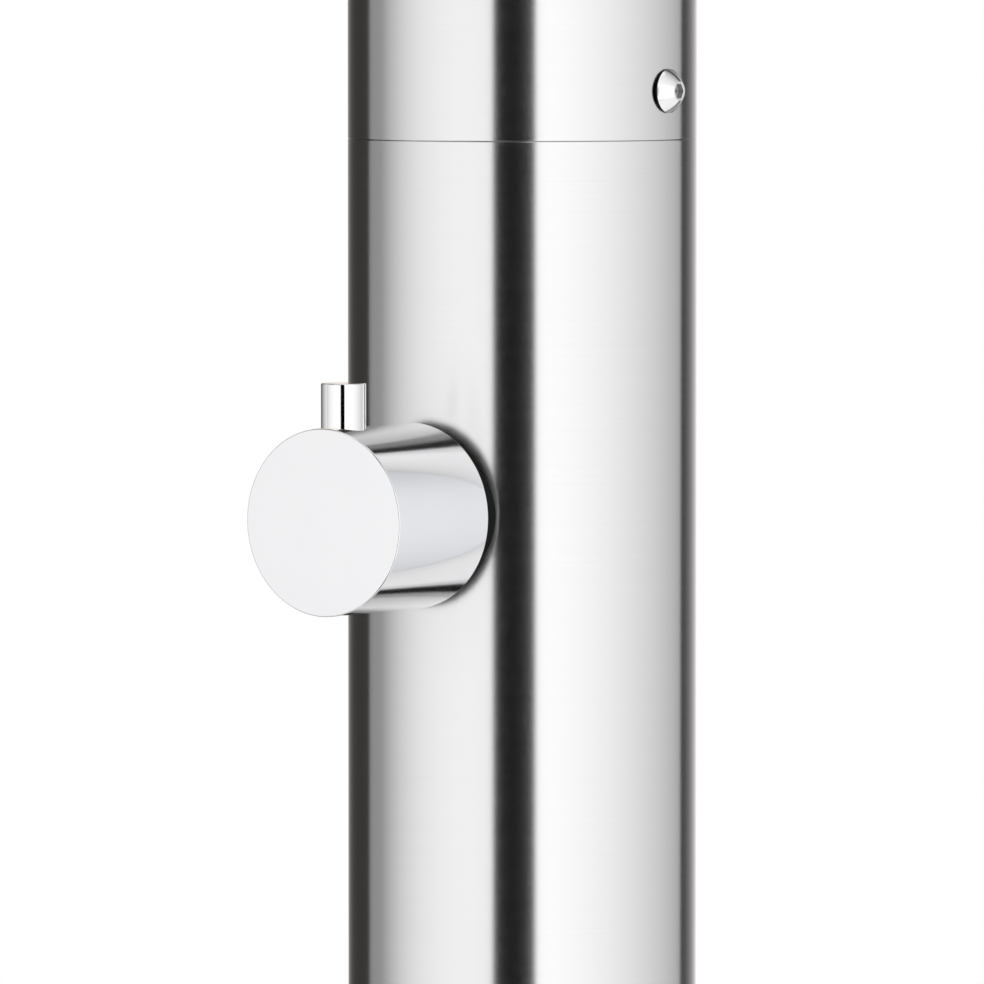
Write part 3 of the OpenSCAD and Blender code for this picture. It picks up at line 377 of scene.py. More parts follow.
class Skin:
    # The surface of one piece, gathered patch by patch. A patch is a grid of points with its normals, or one
    # normal for all of them.
    def __init__(self, *place):
        self.points, self.normals, self.flats, self.quads, self.coats = [], [], [], [], []
        self.total = 0
        self.stand(*place)

    def stand(self, spot=(0.0, 0.0, 0.0), axes=((1, 0, 0), (0, 1, 0), (0, 0, 1))):
        # where the next patches go: axes holds the directions of their x, y and z
        self.spot = np.array(spot, float)
        self.axes = np.array(axes, float)

    def patch(self, points, normals, keep=None, flat=None, coat=0):
        normals = np.broadcast_to(normals, points.shape)
        rows, columns = points.shape[:2]
        index = self.total + np.arange(rows * columns).reshape(rows, columns)
        quads = gridQuads(index)
        across = points[1:, 1:] - points[:-1, :-1]
        other = points[1:, :-1] - points[:-1, 1:]
        facing = np.sum(np.cross(across, other) * (normals[1:, 1:] + normals[:-1, :-1]))
        if facing < 0:
            quads = quads[..., ::-1]
        quads = quads[keep] if keep is not None else quads.reshape(-1, 4)
        self.points.append(points.reshape(-1, 3) @ self.axes + self.spot)
        self.normals.append(normals.reshape(-1, 3) @ self.axes)
        self.flats.append(np.zeros((rows * columns, 2)) if flat is None else flat.reshape(-1, 2))
        self.quads.append(quads)
        self.coats.append(np.full(len(quads), coat))
        self.total += rows * columns

    def build(self, name, finish, slotName, body, *nodes, unwrapped=False):
        # finish names one finish, or several for coats 0, 1 and on
        points, normals = np.concatenate(self.points), np.concatenate(self.normals)
        flats, quads, coats = (np.concatenate(part) for part in (self.flats, self.quads, self.coats))
        key = np.floor(points / mergeStep + mergeShift).astype(np.int64)
        first, merged = np.unique(key, axis=0, return_index=True, return_inverse=True)[1:]
        merged = merged.reshape(-1)
        same = merged[quads] == np.roll(merged[quads], -1, axis=1)
        full, pinched = same.sum(1) == 0, same.sum(1) == 1
        whole = quads[full]
        thirds = quads[pinched][~same[pinched]].reshape(-1, 3)
        corner = np.concatenate([whole.reshape(-1), thirds.reshape(-1)])
        mesh = bpy.data.meshes.new(name)
        mesh.from_pydata((points[first] * mm).tolist(), [], merged[whole].tolist() + merged[thirds].tolist())
        mesh.polygons.foreach_set("use_smooth", np.ones(len(mesh.polygons), bool))
        mesh.polygons.foreach_set("material_index", np.concatenate([coats[full], coats[pinched]]))
        if unwrapped:
            layer = mesh.uv_layers.new(name="run")
            layer.data.foreach_set("uv", (flats[corner] * mm).ravel())
        lengths = np.linalg.norm(normals, axis=1, keepdims=True)
        mesh.normals_split_custom_set((normals / np.maximum(lengths, 1e-9))[corner].tolist())
        mesh.update()
        piece = putInScene(name, mesh)
        for held in finish.split():
            piece.data.materials.append(finishes[held])
        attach(piece, body)
        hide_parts(*nodes)
        print("piece", name, len(mesh.polygons), "faces")
        return piece


outFront = ((1, 0, 0), (0, 0, 1), (0, -1, 0))  # a piece's z runs out of the post's front, and its y runs up
sameSpot = 1e-6  # millimetres


def outline(corners, steps=5):
    # A closed profile of straight lines between (radius, height, rounding) corners. A rounded corner is an
    # arc that meets both lines smoothly; a sharp one is listed twice, with each line's normal.
    spots = np.array([corner[:2] for corner in corners], float)
    rounding = [corner[2] if len(corner) > 2 else 0 for corner in corners]
    after = np.roll(spots, -1, axis=0)
    if np.sum(spots[:, 0] * after[:, 1] - after[:, 0] * spots[:, 1]) < 0:
        spots, rounding = spots[::-1], rounding[::-1]
    ahead = np.roll(spots, -1, axis=0) - spots
    ahead /= np.linalg.norm(ahead, axis=1, keepdims=True)
    behind = np.roll(ahead, 1, axis=0)
    points, normals = [], []
    for spot, before, after, radius in zip(spots, behind, ahead, rounding):
        turn = math.atan2(before[0] * after[1] - before[1] * after[0], before @ after)
        bend = turn * np.linspace(0, 1, steps + 1 if radius else 2)
        out = np.array([before[1], -before[0]])
        swung = np.stack([out[0] * np.cos(bend) - out[1] * np.sin(bend),
                          out[0] * np.sin(bend) + out[1] * np.cos(bend)], 1)
        start = spot - before * radius * math.tan(abs(turn) / 2)
        points.append(start + math.copysign(radius, turn) * (swung - out))
        normals.append(swung)
    points, normals = np.concatenate(points), np.concatenate(normals)
    return np.vstack([points, points[:1]]), np.vstack([normals, normals[:1]])


def revolve(skin, profile, turn=96, openAt=(), inside=None):
    # The profile turned about z. openAt leaves out its lines at a (radius or height, value), where a patch
    # with holes goes. inside(radius, height) tells which lines have the second finish.
    spots = profile[0]
    turn = np.linspace(0, 2 * np.pi, turn + 1) if np.isscalar(turn) else turn
    points, normals = (polar(pairs[:, :1], turn, pairs[:, 1:]) for pairs in profile)
    keep = np.ones((len(spots) - 1, len(turn) - 1), bool)
    for axis, value in openAt:
        level = np.abs(spots[:, axis] - value) < sameSpot
        keep[level[1:] & level[:-1]] = False
    if inside:
        within = inside(*(spots[1:] + spots[:-1]).T / 2)[:, None]
        skin.patch(points, normals, keep & within, coat=1)
        keep = keep & ~within
    skin.patch(points, normals, keep)


def reach(profile, axis, value):
    # the lowest and highest other coordinate of the profile's line at a value
    spots = profile[0]
    on = spots[np.abs(spots[:, axis] - value) < sameSpot][:, 1 - axis]
    return on.min(), on.max()


holeCells = 8  # lines across the block round a hole
blockShare = 1.4  # the block's half width over the hole's radius


def gridLines(start, stop, count, blocks, axis=0):
    # Evenly spaced lines, with each block's own lines in place of those it covers. A block is (u, v, half u,
    # half v), and axis 0 is for the lines along u.
    lines = np.linspace(start, stop, count + 1)
    for middle, half in sorted({(block[axis], block[axis + 2]) for block in blocks}):
        lines = lines[np.abs(lines - middle) > 1.1 * half]
        lines = np.append(lines, middle + half * np.linspace(-1, 1, holeCells + 1))
    return np.sort(lines)


def blockLoop():
    # once round the outline of a square from -1 to 1
    side = np.linspace(-1, 1, holeCells + 1)[:-1]
    one = np.ones(holeCells)
    a = np.concatenate([side, one, -side, -one, [-1]])
    b = np.concatenate([-one, side, one, -side, [-1]])
    return a, b


loopA, loopB = blockLoop()
loopTurn = np.arctan2(loopB, loopA)


def holedSheet(skin, uLines, vLines, surface, blocks, rims):
    # A sheet surface(u, v) with holes. Each block is left out of the grid, and rings that change from the
    # block's outline to the hole's rim fill it.
    u, v = np.meshgrid(uLines, vLines)
    uMiddle, vMiddle = (uLines[1:] + uLines[:-1]) / 2, (vLines[1:] + vLines[:-1]) / 2
    keep = np.ones((len(vMiddle), len(uMiddle)), bool)
    for block in blocks:
        keep &= ~np.outer(np.abs(vMiddle - block[1]) < block[3], np.abs(uMiddle - block[0]) < block[2])
    skin.patch(*surface(u, v), keep)
    share = np.linspace(0, 1, 5)[:, None]
    for block, (rimU, rimV) in zip(blocks, rims):
        skin.patch(*surface(share * rimU + (1 - share) * (block[0] + block[2] * loopA),
                            share * rimV + (1 - share) * (block[1] + block[3] * loopB)))


def roundWall(radius, inward=False):
    # the wall of a cylinder, by angle and height
    def surface(u, v):
        return polar(radius, u, v), polar(-1 if inward else 1, u, 0)
    return surface


def drilledRim(angle, height, drill, radius):
    # where a round hole drilled across meets a cylinder, by angle and height
    return angle + np.arcsin(drill * np.cos(loopTurn) / radius), height + drill * np.sin(loopTurn)


def drill(skin, angle, height, stages):
    # The walls and floors of a hole drilled across a cylinder. A stage is (hole radius, distance from the
    # axis, and whether that distance follows a cylinder's curve).
    out = np.array([math.cos(angle), math.sin(angle), 0])
    side = np.array([-math.sin(angle), math.cos(angle), 0])
    up = np.array([0, 0, 1.0])
    cosine, sine = np.cos(loopTurn)[:, None], np.sin(loopTurn)[:, None]
    loops = []
    for radius, distance, curved in stages:
        far = np.sqrt(distance ** 2 - (radius * cosine) ** 2) if curved else distance + 0 * cosine
        loops.append(out * far + side * radius * cosine + up * (height + radius * sine))
    for (here, there), (first, second) in zip(zip(loops, loops[1:]), zip(stages, stages[1:])):
        facing = -(side * cosine + up * sine) if first[0] == second[0] else out + 0 * cosine
        skin.patch(np.stack([here, there]), facing)


post = {
    "radius": 38.05,
    "wall": 2.0,
    "foot": 8.0,
    "seam": 1149.7,
    "gap": 0.2,
    "close": 0.07,  # how far each length reaches into that gap
    "top": 2180.0,
    "edge": 0.18,  # rounding of the two edges at the seam
    "knobHeight": 1069.5,
    "neckHole": 15.4,
    "screwHeight": 1160.4,
    "screwHole": 2.7,
    "armHeight": 2110.0,
    "armHole": 12.7,
}


def postLength(name, low, high, lowEdge, highEdge, holes, node):
    # A length of tube: its section turned about the axis, with (degrees, height, radius) holes in its wall.
    skin = Skin()
    outer, inner = post["radius"], post["radius"] - post["wall"]
    profile = outline([(inner, low), (outer, low, lowEdge), (outer, high, highEdge), (inner, high)])
    spots = [(math.radians(turn), height, hole) for turn, height, hole in holes]
    blocks = [(turn, height, math.asin(blockShare * hole / outer), blockShare * hole)
              for turn, height, hole in spots]
    uLines = gridLines(math.radians(45), math.radians(405), 192, blocks)
    revolve(skin, profile, uLines, [(0, outer), (0, inner)])
    for radius in (outer, inner):
        vLines = gridLines(*reach(profile, 0, radius), 24, blocks, 1)
        rims = [drilledRim(*spot, radius) for spot in spots]
        holedSheet(skin, uLines, vLines, roundWall(radius, radius == inner), blocks, rims)
    for turn, height, hole in spots:
        drill(skin, turn, height, [(hole, outer, True), (hole, inner, True)])
    skin.build(name, "tube", "brushed_steel", "post", node)


postLength("post_lower_length", post["foot"], post["seam"] + post["close"], 0, post["edge"],
           [(270, post["knobHeight"], post["neckHole"])], "lower_tube")
postLength("post_upper_length", post["seam"] + post["gap"] - post["close"], post["top"], post["edge"], 0,
           [(180, post["screwHeight"], post["screwHole"]), (360, post["screwHeight"], post["screwHole"]),
            (270, post["armHeight"], post["armHole"])], "upper_tube")

floorPlate = {
    "radius": 110.0,
    "thickness": 8.0,
    "passage": 30.0,
    "chamfer": 1.5,
    "rounding": 0.4,
    "holeCircle": 90.0,
    "hole": 5.5,
}


def makeFloorPlate():
    # A chamfered disc turned about the axis, with four drilled and rounded anchor holes.
    size = floorPlate
    skin = Skin()
    edge, thick, soft = size["radius"], size["thickness"], size["rounding"]
    profile = outline([(size["passage"], 0, soft), (edge, 0, soft), (edge, thick - size["chamfer"], soft),
                       (edge - size["chamfer"], thick, soft), (size["passage"], thick, soft)])
    rim = size["hole"] + soft
    half = blockShare * rim
    turns = [math.radians(45 + 90 * k) for k in range(4)]
    blocks = [(turn, size["holeCircle"], half / size["holeCircle"], half) for turn in turns]
    uLines = gridLines(0, 2 * np.pi, 160, blocks)
    revolve(skin, profile, uLines, [(1, 0), (1, thick)])
    across, along = rim * np.cos(loopTurn), size["holeCircle"] + rim * np.sin(loopTurn)
    rims = [(turn + np.arctan2(across, along), np.hypot(across, along)) for turn in turns]
    for height, facing in ((thick, 1), (0, -1)):
        def disc(u, v):
            return polar(v, u, height), (0, 0, facing)
        vLines = gridLines(*reach(profile, 1, height), 6, blocks, 1)
        holedSheet(skin, uLines, vLines, disc, blocks, rims)
    bend = np.linspace(0, np.pi / 2, 6)
    bore = np.concatenate([np.stack([rim - soft * np.sin(bend), thick - soft + soft * np.cos(bend)], 1),
                           np.stack([rim - soft * np.cos(bend), soft - soft * np.sin(bend)], 1)])
    slant = np.concatenate([np.stack([-np.sin(bend), np.cos(bend)], 1),
                            np.stack([-np.cos(bend), -np.sin(bend)], 1)])
    for turn in turns:
        out, side = polar(1, turn, 0), polar(1, turn + np.pi / 2, 0)
        skin.stand(out * size["holeCircle"], (out, side, (0, 0, 1)))
        revolve(skin, (bore, slant), np.pi / 2 - loopTurn)
    skin.build("floor_plate", "turned", "brushed_steel", "post", "base_plate")


makeFloorPlate()

weld = {
    "inner": 38.13,
    "leg": 3.6,
    "stray": [(0.12, 7, 0), (0.08, 17, 1)],  # waves of its toes: size, number round the post and start
    "crown": 0.35,
    "slope": 0.7,  # of the crown, out and up
    "ripples": 88,
    "ripple": 0.10,
    "halfRipple": 0.35,  # share of a second ripple, twice as fine
    "lag": 2.2,  # radians that a ripple's middle runs behind its ends
}


def makeWeld():
    # Between the plate's toe and the tube's: a crowned face with ripples that lag in its middle.
    skin = Skin()
    turn, climb = np.meshgrid(np.linspace(0, 2 * np.pi, weld["ripples"] * 8 + 1), np.linspace(0, 1, 13))
    phase = weld["ripples"] * turn + weld["lag"] * (2 * climb - 1) ** 2
    lump = np.sin(phase) + weld["halfRipple"] * np.sin(2 * phase)
    swell = np.sin(np.pi * climb) * (weld["crown"] + weld["ripple"] * lump) * weld["slope"]
    stray = sum(size * np.sin(waves * turn + start) for size, waves, start in weld["stray"])
    out, up = ((weld["leg"] + stray * share) * share + swell for share in (1 - climb, climb))
    points = polar(weld["inner"] + out, turn, post["foot"] + up)
    normals = np.cross(np.gradient(points, axis=1), np.gradient(points, axis=0))
    normals[:, 0] = normals[:, -1] = (normals[:, 0] + normals[:, -1]) / 2
    normals *= np.sign(np.sum(normals[..., 2:]))
    skin.patch(points, normals)
    heel = polar(weld["inner"], turn[0], post["foot"])
    skin.patch(np.stack([points[0], heel]), (0, 0, -1))
    skin.patch(np.stack([heel, points[-1]]), polar(-1, turn[0], 0))
    skin.build("weld_bead", "weld", "brushed_steel", "post", "base_weld")


makeWeld()

cap = {
    "thickness": 3.0,
    "rounding": 1.0,
    "skirt": 16.0,
    "plug": 35.9,
    "wall": 4.0,
    "groove": 33.9,
    "grooveDepth": 8.0,
    "grooveWidth": 2.4,
}


def makeCap():
    # A push-in cap turned about the axis, with the groove of its seal in the plug.
    top, plug, bore, foot = post["top"], cap["plug"], cap["plug"] - cap["wall"], post["top"] - cap["skirt"]
    low, high = (top - cap["grooveDepth"] + side * cap["grooveWidth"] / 2 for side in (-1, 1))
    profile = outline([
        (0, top), (bore, top, 0.5), (bore, foot, 0.3), (plug, foot, 0.6), (plug, low), (cap["groove"], low),
        (cap["groove"], high), (plug, high), (plug, top), (post["radius"], top, 0.15),
        (post["radius"], top + cap["thickness"], cap["rounding"]), (0, top + cap["thickness"])], 6)
    skin = Skin()
    revolve(skin, profile, 144)
    skin.build("post_cap", "turned", "brushed_steel", "post", "top_cap")


makeCap()

screw = {
    "head": 4.75,
    "height": 3.1,
    "rim": 0.45,  # height of the upright edge under the dome
    "crown": 2.1,  # radius of the flat top
    "slope": 53.0,  # of the dome at its foot
    "shank": 2.5,
    "length": 10.0,
    "key": 3.0,  # across the flats
    "keyDepth": 1.6,
    "keyFoot": 0.85,  # share of the socket's width at its floor
    "keyBevel": 0.15,
    "drillPoint": 0.6,
    "edge": 0.1,
}


def hexRadius(turn, flat):
    # a hexagon's edge seen from its middle, with two flats facing along x
    return flat / 2 / np.cos((turn + np.pi / 6) % (np.pi / 3) - np.pi / 6)


def makeScrews():
    # A domed head turned about its axis; its flat top changes from a circle to the hexagon of the socket.
    top = screw["height"]
    floor = top - screw["keyDepth"]
    turn = np.linspace(-np.pi / 6, 11 * np.pi / 6, 97)
    inner = hexRadius(turn, screw["key"])
    lip, narrow = polar(inner + screw["edge"], turn, top), inner * screw["keyFoot"]
    socket = np.stack([lip, polar(inner, turn, top - screw["edge"]),
                       polar(inner, turn, floor + screw["keyBevel"]), polar(narrow, turn, floor)])
    profile = outline([(screw["head"], 0, 0.05), (screw["head"], screw["rim"]), (0, screw["rim"]),
                       (0, -screw["length"]), (screw["shank"], -screw["length"], 0.4), (screw["shank"], 0)])
    # the dome is an arc over the chord from the rim to the flat top
    chord = np.array([screw["crown"] - screw["head"], top - screw["rim"]])
    lean = math.atan2(chord[1], -chord[0])
    foot = math.radians(screw["slope"])
    bend = np.linspace(foot, 2 * lean - foot, 13)[:, None]
    dome = np.linalg.norm(chord) / 2 / math.sin(foot - lean)
    domeSide = polar(screw["head"] + dome * (np.sin(bend) - math.sin(foot)), turn,
                     screw["rim"] + dome * (np.cos(bend) - math.cos(foot)))
    skin = Skin()
    for side in (1, -1):
        skin.stand((side * post["radius"], 0, post["screwHeight"]), ((0, 0, -1), (0, side, 0), (side, 0, 0)))
        # the head's rim, underside and shank (coat 1) take the painted-shade finish
        revolve(skin, profile, turn, [(1, screw["rim"])], inside=lambda radius, height: height > -0.1)
        skin.patch(domeSide, polar(np.sin(bend), turn, np.cos(bend)))
        skin.patch(np.stack([polar(screw["crown"], turn, top), lip]), (0, 0, 1))
        skin.patch(np.stack([socket[3], polar(0, turn, floor - screw["drillPoint"])]), (0, 0, 1), coat=2)
        for k in range(6):
            rows = socket[:, 16 * k:16 * k + 17]
            face = polar(-1, k * np.pi / 3, 0)
            skin.patch(rows[:2], face + (0, 0, 1))
            skin.patch(rows[1:3], face, coat=2)
            skin.patch(rows[2:], face + (0, 0, 1), coat=2)
    skin.build("joint_screw_pair", "button shaded socket", "polished_steel", "post", "joint_screws")


makeScrews()

knob = {
    "radius": 20.0,
    "back": 41.65,
    "front": 74.45,
    "inner": 18.3,
    "floor": 58.55,
    "bore": 4.08,
    "boreEnd": 69.95,
    "edge": 0.35,
    "leverPlace": 66.85,
    "leverSeat": 4.88,
    "leverFloor": 19.1,
    "stud": 3.1,
    "studEnd": 9.6,
    "grubHole": 2.6,
    "grubEnd": 4.4,
    "blockShare": 1.25,  # as for other holes, but the seat is close to the front edge
}


def makeKnob():
    # A hollow cup turned about its axis, with the lever's seat drilled from above and the set screw's hole
    # from below.
    size = knob
    skin = Skin((0, 0, post["knobHeight"]), outFront)
    profile = outline([
        (0, size["front"]), (size["radius"], size["front"], size["edge"]),
        (size["radius"], size["back"], 0.3), (size["inner"], size["back"], 0.2),
        (size["inner"], size["floor"], 0.4), (size["bore"], size["floor"]),
        (size["bore"], size["boreEnd"]), (0, size["boreEnd"])])
    spots = [(math.radians(90), size["leverPlace"], size["leverSeat"]),
             (math.radians(270), size["leverPlace"], size["grubHole"])]
    halves = [size["blockShare"] * hole for turn, place, hole in spots]
    blocks = [(turn, place, math.asin(half / size["radius"]), half)
              for (turn, place, hole), half in zip(spots, halves)]
    uLines = gridLines(0, 2 * np.pi, 180, blocks)
    # the back face, inner wall, floor and bore (coat 1) take the painted-shade finish
    revolve(skin, profile, uLines, [(0, size["radius"])],
            inside=lambda radius, height: (radius < size["radius"] - 0.2) & (height < size["boreEnd"] + 0.1))
    low, high = reach(profile, 0, size["radius"])
    rows = np.sort(np.concatenate([
        np.linspace(low, blocks[0][1] - blocks[0][3], 5)[:-1],
        blocks[0][1] + blocks[0][3] * np.linspace(-1, 1, holeCells + 1), [high]]))
    small = blocks[1]
    holedSheet(skin, uLines, rows, roundWall(size["radius"]),
               [blocks[0], (small[0], small[1], small[2], blocks[0][3])],
               [drilledRim(*spot, size["radius"]) for spot in spots])
    drill(skin, spots[0][0], size["leverPlace"], [
        (size["leverSeat"], size["radius"], True), (size["leverSeat"], size["leverFloor"], False),
        (size["stud"], size["leverFloor"], False), (size["stud"], size["studEnd"], False),
        (0.0, size["studEnd"], False)])
    drill(skin, spots[1][0], size["leverPlace"], [
        (size["grubHole"], size["radius"], True), (size["grubHole"], size["grubEnd"], False),
        (0.0, size["grubEnd"], False)])
    skin.build("mixing_knob", "polished hollow", "polished_steel", "control_knob", "knob")


makeKnob()

lever = {
    "radius": 4.8,
    "low": 19.2,
    "high": 29.4,
    "edge": 0.35,
    "stud": 3.0,
    "studEnd": 10.2,
}


def makeLever():
    # A pin with a threaded stud, turned about the upright.
    skin = Skin((0, -knob["leverPlace"], post["knobHeight"]))
    profile = outline([
        (0, lever["studEnd"]), (lever["stud"], lever["studEnd"], 0.4), (lever["stud"], lever["low"]),
        (lever["radius"], lever["low"], 0.15), (lever["radius"], lever["high"], lever["edge"]),
        (0, lever["high"])])
    revolve(skin, profile, 96)
    # the satin tube behind it is too rough to mirror it
    hideFrom(skin.build("lever", "polished", "polished_steel", "control_knob", "lever_pin"), "glossy")


makeLever()

arm = {
    "radius": 12.5,
    "wall": 2.0,
    "foot": 18.0,
    "reach": 400.0,
    "bend": 50.0,
    "drop": 22.0,
}
armEnd = post["armHeight"] - arm["bend"] - arm["drop"]


def armPath():
    # Straight out, a quarter turn down and straight down: points, the direction that points up and out, and
    # length.
    run = arm["reach"] - arm["bend"]
    bend = np.linspace(0, np.pi / 2, 49)
    straight = np.linspace(arm["foot"], run, 7)[:-1]
    y = np.concatenate([-straight, -run - arm["bend"] * np.sin(bend), [-arm["reach"]]])
    z = np.concatenate([post["armHeight"] + 0 * straight,
                        post["armHeight"] - arm["bend"] + arm["bend"] * np.cos(bend), [armEnd]])
    lift = np.concatenate([0 * straight, bend, [np.pi / 2]])
    middle = np.stack([0 * y, y, z], 1)
    out = np.stack([0 * y, -np.sin(lift), np.cos(lift)], 1)
    length = np.concatenate([[0], np.cumsum(np.linalg.norm(np.diff(middle, axis=0), axis=1))])
    return middle, out, length


def makeArm():
    # A ring carried along the path, outside and inside, and closed at both ends.
    skin = Skin()
    middle, out, length = armPath()
    turn = np.linspace(0, 2 * np.pi, 97)
    across, over = np.cos(turn)[:, None] * (1.0, 0, 0), np.sin(turn)[:, None]
    ring = across + over * out[:, None, :]
    walls = []
    for radius, sign in ((arm["radius"], 1), (arm["radius"] - arm["wall"], -1)):
        points = middle[:, None, :] + radius * ring
        flat = np.stack(np.broadcast_arrays(turn[None, :] * radius, length[:, None]), -1)
        skin.patch(points, sign * ring, flat=flat)
        walls.append(points)
    for end, facing in ((0, (0, 1, 0)), (-1, (0, 0, -1))):
        skin.patch(np.stack([walls[0][end], walls[1][end]]), facing)
    skin.build("shower_arm_tube", "arm", "brushed_steel", "post", "shower_arm", unwrapped=True)


makeArm()

rose = {
    "radius": 22.0,
    "bore": 12.58,
    "front": 46.05,
    "rounding": 1.0,
    "clear": 38.13,  # radius of the saddle that fits the post
}


def makeRose():
    # The ring round the arm's foot: a section turned about the arm, with its back cut to the post's curve.
    skin = Skin((0, 0, post["armHeight"]), outFront)
    turn = np.linspace(0, 2 * np.pi, 145)
    radius = np.linspace(rose["bore"], rose["radius"], 9)[:, None] + 0 * turn
    back = np.sqrt(rose["clear"] ** 2 - (radius * np.cos(turn)) ** 2)
    points = polar(radius, turn, back)
    skin.patch(points, points * (-1, 0, -1))
    profile = outline([
        (rose["bore"], 0), (rose["radius"], 0), (rose["radius"], rose["front"], rose["rounding"]),
        (rose["bore"], rose["front"], 0.3)], 6)
    revolve(skin, profile, turn, [(1, 0), (0, rose["radius"]), (0, rose["bore"])])
    for row, sign in ((-1, 1), (0, -1)):
        wall = radius[row, 0]
        front = polar(wall, turn, reach(profile, 0, wall)[1])
        skin.patch(np.stack([points[row], front]), polar(sign, turn, 0))
    skin.build("arm_rose", "polished", "polished_steel", "post", "arm_collar")


makeRose()

swivel = {
    "ball": 12.0,
    "neck": 7.0,
    "neckLength": 7.0,
    "collar": 13.5,
    "collarLength": 14.0,
    "collarGap": 0.1,  # under the arm's end
    "bore": 4.0,
    "socket": 10.55,
    "socketDepth": 11.0,
    "thread": 16.76,
    "flange": 24.0,
    "flangeHeight": 2.5,
    "foot": -20.0,
    "neckTop": 0.8,
    "neckBore": 7.5,
    "regulatorBore": 8.88,
    "regulatorSeat": -16.6,
    "cupWall": 2.16,  # from the ball to the cup, filled by the seat ring
    "ridges": 18,
    "ridgeStart": -9.0,
    "ridgeStep": 0.5,
    "ridgeDepth": 0.35,
}
ballHeight = armEnd - swivel["collarLength"] - swivel["neckLength"] - math.sqrt(
    swivel["ball"] ** 2 - swivel["neck"] ** 2)
ballSpot = (0, -arm["reach"], ballHeight)


def ballArc(radius, low, high, count):
    # points of an arc round the ball's centre, from one angle over its level to another
    return [(radius * math.cos(a), radius * math.sin(a)) for a in np.linspace(low, high, count)]


def makeSwivelBall():
    # Ball, neck and collar in one turned profile: the ball's part is an arc from its bore to the neck.
    size = swivel
    skin = Skin(ballSpot)
    low, high = -math.acos(size["bore"] / size["ball"]), math.acos(size["neck"] / size["ball"])
    arc = np.array(ballArc(size["ball"], low, high, 49))
    turn = np.linspace(0, 2 * np.pi, 129)
    points = polar(arc[:, :1], turn, arc[:, 1:])
    skin.patch(points, points)
    armFoot = armEnd - ballHeight
    shelf, well = armFoot - size["collarLength"], armFoot - size["socketDepth"]
    top = armFoot - size["collarGap"]
    spots, slants = outline([
        tuple(arc[0]), tuple(arc[-1]), (size["neck"], shelf, 1.2), (size["collar"], shelf, 1.0),
        (size["collar"], top, 0.3), (size["socket"], top, 0.3), (size["socket"], well),
        (size["bore"], well)])
    # the line from the bore to the neck is left out, as the ball takes its place
    onBall = np.abs(np.hypot(spots[:, 0], spots[:, 1]) - size["ball"]) < sameSpot
    cut = np.where(onBall[1:] & onBall[:-1] & (np.abs(np.diff(spots[:, 1])) > 1))[0][0]
    revolve(skin, (np.roll(spots[:-1], -cut - 1, 0), np.roll(slants[:-1], -cut - 1, 0)), turn)
    skin.build("swivel_ball", "polished", "polished_steel", "post", "ball_stem")


makeSwivelBall()


def makeSwivelNeck():
    # The threaded neck of the head with its flange, and the cup that holds the ball's seat.
    size = swivel
    skin = Skin(ballSpot)
    cup = size["ball"] + size["cupWall"]
    bowl = ballArc(cup, -math.acos(size["regulatorBore"] / cup), math.asin(size["neckTop"] / cup), 17)
    foot, flangeTop, seat = size["foot"], size["foot"] + size["flangeHeight"], size["regulatorSeat"]
    thread, step, start = size["thread"], size["ridgeStep"], size["ridgeStart"]
    ridges = [(thread - size["ridgeDepth"] * (k % 2), start + step * k) for k in range(size["ridges"])]
    profile = outline([
        (size["neckBore"], foot), (size["flange"], foot, 0.3), (size["flange"], flangeTop, 0.6),
        (thread, flangeTop, 0.8), (thread, start - step), *ridges, (thread - 0.5, size["neckTop"]),
        *bowl[::-1], (size["regulatorBore"], seat), (size["neckBore"], seat)])
    revolve(skin, profile, 120)
    skin.build("swivel_neck", "polished", "polished_steel", "shower_head", "head_neck")


makeSwivelNeck()

head = {
    "radius": 125.0,
    "height": 10.0,
    "sheet": 1.5,
    "edge": 0.8,
    "lowEdge": 0.35,
    "recess": 0.6,
    "plate": 2.0,
    "mat": 1.5,
    "ledge": 3.0,
    "screws": 6,
    "screwRing": 113.2,
    "boss": 3.2,
    "bossBore": 1.6,
    "screwLength": 6.15,
}
headTop = ballHeight + swivel["foot"]
sprayFace = headTop - head["height"] + head["recess"]


def makeRainHead():
    # A shallow turned pan with a rolled rim and an inner ledge, and the six bosses of its screws.
    skin = Skin((0, -arm["reach"], 0))
    low, inside, roof = headTop - head["height"], head["radius"] - head["sheet"], headTop - head["sheet"]
    ledge = sprayFace + head["plate"] + head["mat"]
    profile = outline([
        (swivel["neckBore"], headTop), (head["radius"], headTop, head["edge"]),
        (head["radius"], low, head["lowEdge"]), (inside, low, 0.3), (inside, ledge),
        (inside - head["ledge"], ledge), (inside - head["ledge"], roof, 0.5), (swivel["neckBore"], roof)])
    revolve(skin, profile, 288)
    foot = sprayFace + head["plate"]
    end = foot + head["screwLength"]
    boss = outline([(head["bossBore"], foot), (head["boss"], foot), (head["boss"], roof), (0, roof),
                    (0, end), (head["bossBore"], end)])
    for turn in 2 * np.pi * (np.arange(head["screws"]) + 0.5) / head["screws"]:
        skin.stand(polar(head["screwRing"], turn, 0) - (0, arm["reach"], 0))
        revolve(skin, boss, 32)
    skin.build("rain_head", "turnedHead", "brushed_steel", "shower_head", "head_shell")


makeRainHead()

jets = {
    "rings": 5,
    "pitch": 21.0,
    "perRing": 6,
    "radius": 1.7,
    "tip": 1.05,
    "out": 2.2,
    "bore": 0.5,
    "boreEnd": 1.4,  # up from the tip
    "root": 0.2,  # how far a nozzle goes into the mat
    "matRadius": 121.2,
}


